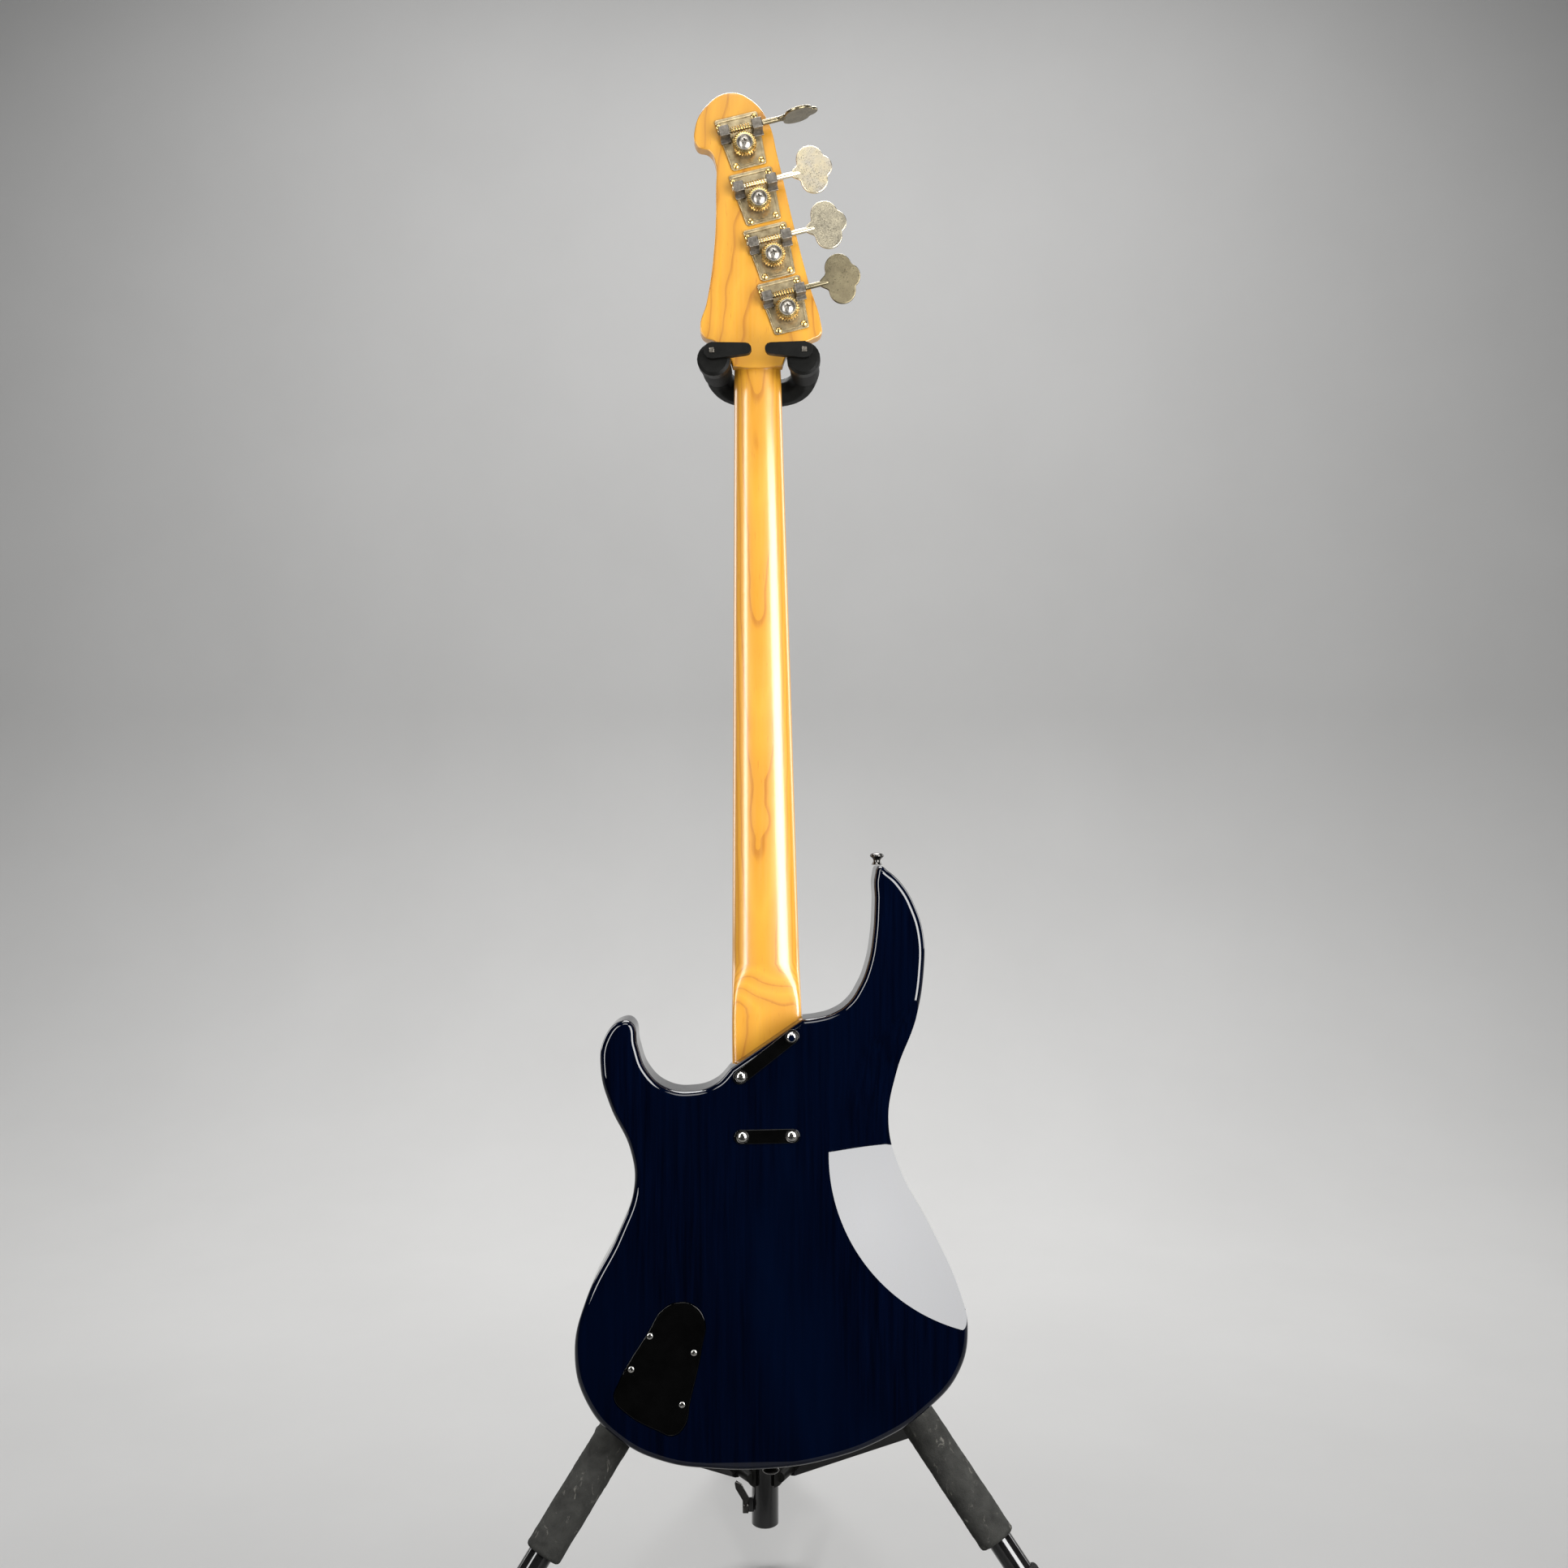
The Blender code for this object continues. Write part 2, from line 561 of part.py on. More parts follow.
def make_yoke_arms(yoke):
    """Rubber sleeves on the arms and, on their ends, the two latches that close over the neck."""
    inner, outer, ring = (ROD_RADIUS + GAP) / MM, SLEEVE_RADIUS / MM, LATCH_RING_RADIUS / MM
    length = (ARM_ROOT - ARM_TIP) / MM - 15
    sleeve = turned(
        "sleeve", [(inner, 0), (inner, length), (outer - 1.5, length), (outer, length - 1.5), (outer, 0)], 20,
        closed=True,
    )
    cap = turned(
        "cap", [(0, 3.2), (ring - 2.5, 3.2), (ring, 1.2), (ring, -9), (inner, -9), (inner, 0.5), (0, 0.5)], 24
    )
    cap.data.transform(Matrix.Translation((0, ARM_TIP, 0)) @ Matrix.Rotation(math.radians(90), 4, "X"))
    for name, sign in (("left", -1), ("right", 1)):
        root = (sign * ARM_SPREAD, ARM_ROOT - 0.0045, ARM_HEIGHT)
        place(copy_of(sleeve, f"arm_sleeve_{name}"), "black_rubber", yoke, root, (math.radians(90), 0, 0))
        finger = plate(
            f"latch_{name}", stadium((sign, 5.7), (-sign * LATCH_REACH / MM, 7.1), 7.2, end_radius=5.0),
            (ARM_TIP - 0.0095, ARM_TIP - 0.0028), straight=True,
        )
        place(joined(finger, copy_of(cap, "cap")), "black_plastic", yoke, (sign * ARM_SPREAD, 0.0, ARM_HEIGHT))
    for template in (sleeve, cap):
        bpy.data.objects.remove(template, do_unlink=True)


# --- Bass ---


def at(point, depth=0.0):
    """A point of the bass from (x, z) in millimetres and a depth."""
    return Vector((point[0] * MM, depth, point[1] * MM))


def neck_half_width(z):
    return NUT_HALF_WIDTH + NECK_TAPER * min(-z, -HEEL_END - 0.100)


def make_body(bass):
    """Body with its neck pocket, pickup pockets, control cavity, bolt and shaft holes and belly contour."""
    body = plate("body", BODY_OUTLINE, (0.0, BODY_THICKNESS), edge=BODY_EDGE, corners=BODY_CORNERS, steps=3)
    front = BODY_THICKNESS + 0.01
    pocket_half = neck_half_width(HEEL_END) + GAP
    pocket = block("neck_pocket", (-pocket_half, HEEL_DEPTH - GAP, HEEL_END - GAP), (pocket_half, front, -0.560))
    pickups = [
        block(
            "pickup_pocket",
            (-PICKUP_SIZE[0] / 2 - 0.0005, 0.031, z - PICKUP_SIZE[2] / 2 - 0.0005),
            (PICKUP_SIZE[0] / 2 + 0.0005, front, z + PICKUP_SIZE[2] / 2 + 0.0005),
        )
        for z in PICKUP_CENTRES
    ]
    centre = [sum(p[i] for p in COVER_OUTLINE) / len(COVER_OUTLINE) for i in (0, 1)]

    def grown(scale):
        return [tuple(centre[i] + scale * (p[i] - centre[i]) for i in (0, 1)) for p in COVER_OUTLINE]

    recess = plate("cover_recess", grown(1.012), (-0.010, 0.0025), steps=3)
    cavity = plate("control_cavity", grown(0.82), (0.001, 0.033), steps=2)
    bolts = [(at(p, -0.01), at(p, HEEL_DEPTH + 0.005)) for p in UPPER_BOLTS + LOWER_BOLTS]
    bolt_holes = rods("bolt_holes", bolts, BOLT_RADIUS + GAP, 12)
    shaft_holes = rods("shaft_holes", [(at(p, 0.030), at(p, front)) for p in KNOBS], 0.0034, 12)
    jack_hole = rods("jack_hole", [(at(JACK_AT, 0.030), at(JACK_AT, front))], 0.0052, 12)
    bpy.ops.mesh.primitive_uv_sphere_add(segments=48, ring_count=24, radius=BELLY_RADIUS)
    scoop = bpy.context.object
    outside = math.sqrt(BELLY_RADIUS**2 - BELLY_REACH**2)
    scoop.data.transform(Matrix.Translation(BELLY_CENTRE - Vector((0.0, outside, 0.0))))
    body = cut(body, pocket, *pickups, recess, cavity, bolt_holes, shaft_holes, jack_hole, scoop)
    place(body, "blue_lacquer", bass)


def neck_section(z):
    """A neck section: flat on top, a round back that squares off and deepens into the heel."""
    heel = min(max((-0.545 - z) / 0.045, 0.0), 1.0)
    heel = heel * heel * (3 - 2 * heel)
    back = 0.034 + (0.0315 - 0.034) * min(-z / 0.5, 1.0)
    back += (HEEL_DEPTH - back) * heel
    power = 2.2 + 9.8 * heel
    half = neck_half_width(z)
    steps = 14
    points = []
    for i in range(steps + 1):
        angle = math.pi * i / steps
        across, deep = math.cos(angle), math.sin(angle)
        x = half * math.copysign(abs(across) ** (2 / power), across)
        y = NECK_TOP - (NECK_TOP - back) * abs(deep) ** (2 / power)
        points.append((x, y, z))
    return points


def make_neck(bass):
    """Neck with its heel and headstock, drilled for the tuners and the neck bolts."""
    stations = [-0.705, -0.640, -0.590, -0.575, -0.560, -0.545, -0.440, -0.320, -0.200, -0.090, -0.030, -0.004]
    neck = loft("neck", [neck_section(z) for z in stations])
    head = plate("head", HEAD_OUTLINE, HEAD_DEPTH, edge=0.0015, corners=HEAD_CORNERS, steps=3)
    posts = rods("post_holes", [(at(p, 0.02), at(p, 0.06)) for p in POSTS], POST_RADIUS + 0.0005, 16)
    bolts = [(at(p, 0.02), at(p, 0.0425)) for p in UPPER_BOLTS + LOWER_BOLTS]
    place(cut(joined(neck, head), posts, rods("bolt_holes", bolts, BOLT_RADIUS + GAP, 12)), "maple", bass)


def make_fingerboard(bass):
    """Crowned fingerboard and the nut at its end."""
    bottom, top = FINGERBOARD_DEPTH
    sections = []
    for z in (-0.0028, -0.2, -0.45, FINGERBOARD_END):
        half = neck_half_width(z) - 0.0002
        crown = [(math.cos(math.pi * i / 8), math.sin(math.pi * i / 8)) for i in range(9)]
        points = [(half, bottom, z)]
        points += [(half * (1 - i / 4), top - 0.0016 * (1 - i / 4) ** 2, z) for i in range(9)]
        points += [(-half, bottom, z)]
        sections.append(points)
    place(loft("fingerboard", sections), "rosewood", bass)
    half = NUT_HALF_WIDTH - 0.0004
    place(block("nut", (-half, bottom, -0.0024), (half, 0.0556, 0.0024), 0.0005), "bone", bass)


def make_joint_hardware(bass):
    """The two neck plates and the four bolts that hold the neck."""
    thickness = 0.0016
    plates = (("neck_plate_upper", UPPER_BOLTS, 7.0), ("neck_plate_lower", LOWER_BOLTS, 7.0))
    for name, (first, last), overhang in plates:
        heading = math.atan2(last[1] - first[1], last[0] - first[0])
        reach = (overhang - 6.0) * math.cos(heading), (overhang - 6.0) * math.sin(heading)
        start, end = (first[0] - reach[0], first[1] - reach[1]), (last[0] + reach[0], last[1] + reach[1])
        bar = plate(name, stadium(start, end, 6.0, 7), (-GAP - thickness, -GAP), straight=True)
        holes = rods("holes", [(at(p, -0.01), at(p, 0.01)) for p in (first, last)], BOLT_RADIUS + GAP, 12)
        place(cut(bar, holes), "black_gloss", bass)
    under = -(thickness + 2 * GAP) / MM
    shank = BOLT_RADIUS / MM
    bolt = turned(
        "bolt", [(0, 1.9 - under), (2.6, 1.7 - under), (4.2, 0.9 - under), (4.65, 0.1 - under), (4.65, -under),
                 (shank, -under), (shank, -40), (0, -42)], 16,
    )
    bolt.data.transform(Matrix.Rotation(math.radians(90), 4, "X"))
    for number, spot in enumerate(UPPER_BOLTS + LOWER_BOLTS, 1):
        place(copy_of(bolt, f"neck_bolt_{number}"), "chrome", bass, at(spot))
    bpy.data.objects.remove(bolt, do_unlink=True)


def make_control_cover(bass):
    cover = plate("control_cover", COVER_OUTLINE, (0.0002, 0.0022), steps=3)
    place(cover, "black_gloss", bass)


def make_strap_buttons(bass):
    """Strap buttons on the upper horn and at the bottom of the body."""
    button = [(0, 10.4), (3, 10.1), (5.6, 9.0), (6.2, 7.9), (5.4, 6.9), (3.2, 5.0), (3.1, 3.4), (4.6, 0), (0, 0)]
    upper = turned("strap_button_upper", button, 20)
    place(upper, "dark_nickel", bass, at((98.0, -459.5), 0.0225), (0.0, math.radians(2), 0.0))
    lower = turned("strap_button_lower", [(r * 1.18, z) for r, z in button], 20)
    place(lower, "dark_nickel", bass, at((-2.0, -973.6), 0.0225), (math.radians(180), 0.0, 0.0))


def make_electronics(bass):
    """Pickups, knobs with their shafts, and the output jack."""
    length, height, width = PICKUP_SIZE
    for name, z in zip(("pickup_neck", "pickup_bridge"), PICKUP_CENTRES):
        low = (-length / 2, 0.055 - height, z - width / 2)
        high = (length / 2, 0.055, z + width / 2)
        place(block(name, low, high, 0.002), "black_plastic", bass)
    stand_off = BODY_THICKNESS / MM + 0.6
    knob = turned(
        "knob", [(0, stand_off + 17), (7.5, stand_off + 17), (9.0, stand_off + 15.5), (10, stand_off + 1),
                 (9.4, stand_off), (3, stand_off), (3, 37), (0, 37)], 20,
    )
    knob.data.transform(Matrix.Rotation(math.radians(-90), 4, "X"))
    for number, spot in enumerate(KNOBS, 1):
        place(copy_of(knob, f"knob_{number}"), "dark_nickel", bass, at(spot))
    bpy.data.objects.remove(knob, do_unlink=True)
    front = BODY_THICKNESS / MM + 0.3
    jack = turned(
        "output_jack", [(0, 33.5), (3.3, 33.5), (3.3, front + 4), (5, front + 4), (5, front + 2.6), (8, front + 2.6),
                        (8.4, front + 2), (8.4, front), (4.9, front), (4.9, 32), (0, 32)], 20,
    )
    jack.data.transform(Matrix.Rotation(math.radians(-90), 4, "X"))
    place(jack, "chrome", bass, at(JACK_AT))


def make_bridge(bass):
    """Bridge plate with its tail wall, on the body's front."""
    low = BODY_THICKNESS + GAP
    base = block("bridge_plate", (-0.041, low, -0.906), (0.041, low + 0.0027, -0.848), 0.0006)
    wall = block("wall", (-0.041, low + 0.001, -0.906), (0.041, low + 0.0135, -0.9022), 0.0006)
    place(joined(base, wall), "chrome", bass)


def make_strings(bass):
    """Strings from the bridge's tail wall over the saddles and the nut to the posts."""
    for number, (radius, post) in enumerate(zip(STRING_RADII, POSTS)):
        place_in_row = number - 1.5
        nut_x, bridge_x = place_in_row * STRING_SPREAD_NUT, place_in_row * STRING_SPREAD_BRIDGE
        over_nut = 0.0556 + GAP + radius
        post_x = post[0] * MM - POST_RADIUS - GAP - radius
        points = [
            (bridge_x, 0.0530, -0.9018),
            (bridge_x, 0.0600, -SCALE_LENGTH),
            (nut_x, over_nut, -0.0026),
            (nut_x, over_nut, 0.0030),
            (post_x, 0.0500, post[1] * MM - 0.004),
            (post_x, 0.0500, post[1] * MM + 0.003),
        ]
        curve = bpy.data.curves.new("string", "CURVE")
        curve.dimensions = "3D"
        curve.bevel_depth = radius
        curve.bevel_resolution = 1
        curve.use_fill_caps = True
        spline = curve.splines.new("POLY")
        spline.points.add(len(points) - 1)
        for point, co in zip(spline.points, points):
            point.co = (*co, 1.0)
        place(bake(add_object(f"string_{'gdae'[number]}", curve)), "steel", bass)


def clover(width, length, lobes=0.11, count=30):
    """Three-lobed key outline in millimetres, one lobe pointing away from the shaft."""
    outline = []
    for i in range(count):
        angle = 2 * math.pi * i / count
        r = 1 + lobes * math.cos(3 * angle)
        outline.append((r * math.cos(angle) * length / 2, r * math.sin(angle) * width / 2))
    return outline


def make_tuners(bass):
    """Four open-gear tuners: base plate with bearing blocks, worm with its key, worm wheel with its post."""
    back = HEAD_DEPTH[0] - GAP
    outline = [(-20.8, 29.1), (18.7, 29.1), (15.6, -18.7), (-15.6, -18.7)]
    base = plate("base", outline, (back - 0.0015, back), straight=True)
    for x in (-0.0149, 0.0149):
        low = (x - 0.0048, WORM_DEPTH - 0.0042, WORM_OFFSET - 0.0046)
        high = (x + 0.0048, back - 0.0005, WORM_OFFSET + 0.0046)
        base = joined(base, block("bearing", low, high, 0.0008))
    worm_line = [((-0.03, WORM_DEPTH, WORM_OFFSET), (0.03, WORM_DEPTH, WORM_OFFSET))]
    base = cut(base, rods("worm_bore", worm_line, 0.0025), rods("post_bore", [((0, 0, 0), (0, 0.06, 0))], 0.0055))

    worm = rods("worm", [((-0.0096, 0, 0), (0.0096, 0, 0))], 0.0032, 14)
    shaft = rods("shaft", [((-0.0205, 0, 0), (0.036, 0, 0))], 0.0022, 12)
    paddle = plate("paddle", clover(42, 37), (-0.0013, 0.0013), steps=1)
    paddle.data.transform(Matrix.Translation((0.0515, 0, 0)))
    key = joined(worm, shaft, paddle)

    wheel_top, wheel_bottom = WORM_DEPTH / MM - 3, WORM_DEPTH / MM + 3.4
    post = POST_RADIUS / MM
    gear = turned(
        "gear",
        [(0, -wheel_top + 3), (5, -wheel_top + 2.2), (7.6, -wheel_top + 0.4), (10.4, -wheel_top + 0.2),
         (10.4, -wheel_bottom), (post, -wheel_bottom), (post, -49), (post - 1.2, -50.5), (post - 1.2, -54),
         (post, -55.5), (post, -60), (0, -60)], 20,
    )
    gear.data.transform(Matrix.Rotation(math.radians(90), 4, "X"))
    for number, (spot, key_turn) in enumerate(zip(POSTS, KEY_TURNS), 1):
        carrier = add_empty(f"tuner_{number}", at(spot), (0.0, TUNER_TURN, 0.0), bass)
        place(copy_of(base, f"tuner_plate_{number}"), "aged_nickel", carrier)
        place(copy_of(gear, f"tuner_gear_{number}"), "brass", carrier)
        place(copy_of(key, f"tuner_key_{number}"), "aged_nickel", carrier, (0, WORM_DEPTH, WORM_OFFSET), (key_turn, 0, 0))
    for template in (base, key, gear):
        bpy.data.objects.remove(template, do_unlink=True)


def main():
    clear_scene()
    global PARTS
    PARTS = bpy.data.collections.new("bass_on_stand")
    bpy.context.scene.collection.children.link(PARTS)
    foot_of_pole = Vector(pole_place())
    stand = add_empty("stand", foot_of_pole)
    yoke = add_empty("yoke", foot_of_pole, (0.0, 0.0, YOKE_TURN))
    bass = add_empty("bass", foot_of_pole + BASS_AT, BASS_TURN)
    for make in (make_legs, make_hub, make_braces, make_collar, make_pole, make_clutch):
        make(stand)
    for make in (make_yoke_head, make_yoke_frame, make_yoke_arms):
        make(yoke)
    for make in (
        make_body, make_neck, make_fingerboard, make_joint_hardware, make_control_cover, make_strap_buttons,
        make_electronics, make_bridge, make_strings, make_tuners,
    ):
        make(bass)


main()
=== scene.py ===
"""Looks for the electric bass hung on a tripod stand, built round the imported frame."""

import json
import math

import bmesh
import bpy
from mathutils import Euler, Matrix, Vector, noise


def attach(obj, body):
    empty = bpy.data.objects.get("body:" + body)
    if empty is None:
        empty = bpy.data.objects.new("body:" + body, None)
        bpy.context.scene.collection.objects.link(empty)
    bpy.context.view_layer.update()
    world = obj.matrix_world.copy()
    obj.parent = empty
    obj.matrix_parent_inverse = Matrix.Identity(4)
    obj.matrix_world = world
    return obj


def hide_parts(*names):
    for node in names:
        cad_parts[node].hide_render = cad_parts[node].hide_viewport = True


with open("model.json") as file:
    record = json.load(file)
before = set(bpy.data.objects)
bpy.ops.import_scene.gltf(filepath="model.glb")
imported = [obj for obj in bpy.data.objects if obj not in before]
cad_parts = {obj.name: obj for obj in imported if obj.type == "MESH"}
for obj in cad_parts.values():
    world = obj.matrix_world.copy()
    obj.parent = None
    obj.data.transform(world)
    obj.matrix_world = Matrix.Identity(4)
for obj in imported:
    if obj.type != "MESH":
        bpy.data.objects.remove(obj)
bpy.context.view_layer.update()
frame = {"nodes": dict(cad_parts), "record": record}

MM = 0.001
SLOTS = {row["node"]: row["material_slot"] for row in frame["record"]["subparts"]}
BODIES = {node: body for body, names in frame["record"]["behaviour"]["bodies"].items() for node in names}


def placed(location, turn=(0.0, 0.0, 0.0)):
    return Matrix.Translation(location) @ Euler([math.radians(t) for t in turn]).to_matrix().to_4x4()


STAND = placed((-0.00925, -0.062364, 0.0))
YOKE = STAND @ placed((0.0, 0.0, 0.0), (0.0, 0.0, -2.28))
BASS = STAND @ placed((-0.00488, -0.12054, 1.12777), (-1.5, -0.775, 1.5))


# --- Materials ---


class Paint:
    """A procedural material: a Principled shader and the nodes that feed it."""

    def __init__(self, name, **constants):
        self.material = bpy.data.materials.new(name)
        self.material.use_nodes = True
        self.nodes = self.material.node_tree.nodes
        self.links = self.material.node_tree.links
        self.shader = self.nodes["Principled BSDF"]
        self.place = self.nodes.new("ShaderNodeTexCoord").outputs["Object"]
        for key, value in constants.items():
            self.shader.inputs[key.replace("_", " ")].default_value = value

    def node(self, kind, *links, **inputs):
        node = self.nodes.new(kind)
        for key, value in inputs.items():
            if key in node.inputs:
                node.inputs[key].default_value = value
            else:
                setattr(node, key, value)
        for socket, source in links:
            self.links.new(source, node.inputs[socket])
        return node

    def mapped(self, scale):
        return self.node("ShaderNodeMapping", ("Vector", self.place), Scale=scale).outputs["Vector"]

    def noise(self, scale, stretch=(1.0, 1.0, 1.0), detail=4.0, rough=0.55, twist=0.0):
        node = self.node(
            "ShaderNodeTexNoise", ("Vector", self.mapped(stretch)),
            Scale=scale, Detail=detail, Roughness=rough, Distortion=twist,
        )
        return node.outputs["Fac"]

    def ramp(self, factor, *stops):
        node = self.node("ShaderNodeValToRGB", ("Fac", factor))
        band = node.color_ramp
        while len(band.elements) < len(stops):
            band.elements.new(0.5)
        for element, (at, value) in zip(band.elements, stops):
            element.position = at
            element.color = (*value, 1.0) if isinstance(value, tuple) else (value, value, value, 1.0)
        return node.outputs["Color"]

    def mix(self, factor, a, b):
        node = self.nodes.new("ShaderNodeMix")
        node.data_type = "RGBA"
        self.links.new(factor, node.inputs[0])
        for index, value in ((6, a), (7, b)):
            if isinstance(value, tuple):
                node.inputs[index].default_value = (*value, 1.0)
            else:
                self.links.new(value, node.inputs[index])
        return node.outputs[2]

    def feed(self, **sources):
        for key, source in sources.items():
            self.links.new(source, self.shader.inputs[key.replace("_", " ")])
        return self

    def bump(self, height, distance, strength=1.0):
        node = self.node("ShaderNodeBump", ("Height", height), Distance=distance, Strength=strength)
        self.links.new(node.outputs["Normal"], self.shader.inputs["Normal"])
        return self


def mottled(name, light, dark, rough, metal=0.0, scale=120.0, grain=900.0, depth=0.00004, **more):
    """Two tones drifting into each other, uneven roughness and a fine grain."""
    paint = Paint(name, Metallic=metal, **more)
    patches = paint.noise(scale, detail=5.0, rough=0.62)
    fine = paint.noise(grain, detail=3.0)
    paint.feed(
        Base_Color=paint.ramp(patches, (0.32, dark), (0.68, light)),
        Roughness=paint.ramp(fine, (0.3, rough[0]), (0.7, rough[1])),
    )
    return paint.bump(fine, depth)


def lacquer_paint():
    """Transparent navy lacquer over a straight-grained timber."""
    paint = Paint("navy_lacquer", Coat_Weight=1.0, Coat_Roughness=0.012, Coat_IOR=1.45, Roughness=0.42)
    paint.shader.inputs["Specular IOR Level"].default_value = 0.0
    streaks = paint.noise(260.0, (1.0, 1.0, 0.028), 6.0, 0.6, 0.3)
    broad = paint.noise(14.0, (1.0, 1.0, 0.22), 3.0, 0.5, 0.8)
    tone = paint.ramp(streaks, (0.34, (0.0001, 0.0004, 0.0021)), (0.66, (0.0003, 0.0014, 0.0068)))
    shade = paint.ramp(broad, (0.35, (0.0001, 0.0003, 0.0016)), (0.7, (0.0002, 0.0013, 0.0060)))
    paint.feed(Base_Color=paint.mix(paint.ramp(broad, (0.4, 0.25), (0.6, 0.75)), tone, shade))
    return paint


def maple_paint():
    """Amber-tinted maple: narrow cathedral lines, drifting tone and small pores."""
    paint = Paint("amber_maple", Coat_Weight=0.8, Coat_Roughness=0.17, Roughness=0.5)
    warp = paint.noise(9.0, (1.0, 1.0, 0.16), 2.0, 0.5)
    heart = paint.node(
        "ShaderNodeMapping", ("Vector", paint.place), Location=(-0.012, -0.040, 0.0), Rotation=(0.045, 0.02, 0.0),
    )
    rings = paint.node(
        "ShaderNodeTexWave", ("Vector", heart.outputs["Vector"]), wave_type="RINGS", rings_direction="Z",
        wave_profile="SAW", Scale=125.0, Distortion=5.0, Detail=2.0,
    )
    rings.inputs["Detail Scale"].default_value = 0.10
    lines = paint.ramp(
        rings.outputs["Fac"], (0.0, (0.35, 0.148, 0.0070)), (0.5, (0.43, 0.203, 0.0115)),
        (0.86, (0.37, 0.160, 0.0078)), (0.96, (0.25, 0.088, 0.0035)),
    )
    fibres = paint.noise(420.0, (1.0, 1.0, 0.03), 4.0, 0.6)
    drift = paint.ramp(warp, (0.3, (0.33, 0.138, 0.0058)), (0.7, (0.45, 0.228, 0.0145)))
    tone = paint.mix(paint.ramp(fibres, (0.25, 0.10), (0.75, 0.45)), lines, drift)
    pores = paint.ramp(paint.noise(900.0, (1.0, 1.0, 0.08), 2.0), (0.66, 0.0), (0.74, 0.5))
    paint.feed(
        Base_Color=paint.mix(pores, tone, (0.25, 0.085, 0.005)),
        Roughness=paint.ramp(fibres, (0.3, 0.36), (0.7, 0.48)),
    )
    return paint.bump(fibres, 0.00002)


def foam_paint():
    """Grey foam with a torn, pitted skin and pale scuffs."""
    paint = Paint("scuffed_foam", Specular_IOR_Level=0.1)
    pits = paint.noise(700.0, detail=6.0, rough=0.7)
    patches = paint.noise(60.0, detail=6.0, rough=0.65, twist=0.4)
    scuffs = paint.noise(130.0, (1.0, 1.0, 0.45), 8.0, 0.72, 0.8)
    base = paint.ramp(patches, (0.3, (0.013, 0.0130, 0.0120)), (0.7, (0.029, 0.0290, 0.0265)))
    worn = paint.mix(paint.ramp(scuffs, (0.59, 0.0), (0.68, 0.75)), base, (0.12, 0.115, 0.10))
    paint.feed(Base_Color=worn, Roughness=paint.ramp(pits, (0.3, 0.8), (0.7, 1.0)))
    return paint.bump(pits, 0.0004)


def rosewood_paint():
    paint = Paint("rosewood_board", Roughness=0.5)
    fibres = paint.noise(380.0, (1.0, 1.0, 0.035), 6.0, 0.65, 0.2)
    paint.feed(Base_Color=paint.ramp(fibres, (0.3, (0.030, 0.013, 0.008)), (0.7, (0.105, 0.050, 0.028))))
    return paint.bump(fibres, 0.00008)


PAINTS = {
    "black_steel": mottled("black_gloss_steel", (0.006, 0.006, 0.006), (0.003, 0.003, 0.003), (0.14, 0.24), 0.0,
                           90.0, 500.0, 0.00001, Coat_Weight=1.0, Coat_Roughness=0.06,
                           Specular_IOR_Level=0.1),
    "black_plastic": mottled("moulded_black", (0.0050, 0.0050, 0.0045), (0.0025, 0.0025, 0.0022), (0.36, 0.52), 0.0,
                             80.0, 1500.0, 0.00003, Specular_IOR_Level=0.12),
    "black_rubber": mottled("soft_black_rubber", (0.0050, 0.0050, 0.0045), (0.0025, 0.0025, 0.0022), (0.5, 0.68),
                            0.0, 110.0, 1800.0, 0.00003, Specular_IOR_Level=0.12),
    "grey_foam": foam_paint(),
    "blue_lacquer": lacquer_paint(),
    "maple": maple_paint(),
    "rosewood": rosewood_paint(),
    "bone": mottled("bone_nut", (0.74, 0.70, 0.60), (0.60, 0.55, 0.44), (0.3, 0.42), 0.0, 200.0, 900.0, 0.00002),
    "black_gloss": mottled("black_gloss_plate", (0.0012, 0.0012, 0.0012), (0.0006, 0.0006, 0.0006), (0.05, 0.10),
                           0.0, 60.0, 300.0, 0.000004, Coat_Weight=1.0, Coat_Roughness=0.02,
                           Specular_IOR_Level=0.0),
    "chrome": mottled("bright_chrome", (0.52, 0.51, 0.49), (0.38, 0.37, 0.34), (0.14, 0.24), 1.0, 300.0, 1400.0,
                      0.000004),
    "dark_nickel": mottled("black_nickel", (0.11, 0.105, 0.10), (0.06, 0.058, 0.055), (0.14, 0.26), 1.0, 200.0,
                           1200.0, 0.000004),
    "aged_nickel": mottled("aged_nickel", (0.56, 0.46, 0.28), (0.27, 0.21, 0.12), (0.28, 0.48), 1.0, 150.0, 1100.0,
                           0.00002),
    "brass": mottled("aged_brass", (0.86, 0.66, 0.29), (0.50, 0.33, 0.11), (0.18, 0.36), 1.0, 260.0, 1300.0, 0.00002),
    "steel": mottled("bare_steel", (0.62, 0.61, 0.58), (0.45, 0.44, 0.41), (0.2, 0.34), 1.0, 240.0, 1600.0, 0.00001),
}
WORN_STEEL = mottled("dulled_bearing", (0.27, 0.245, 0.21), (0.12, 0.108, 0.09), (0.3, 0.5), 1.0, 320.0, 1200.0,
                     0.00003)
CAP_STEEL = mottled("dulled_cap", (0.46, 0.43, 0.38), (0.24, 0.22, 0.19), (0.30, 0.44), 1.0, 260.0, 1200.0, 0.00001)
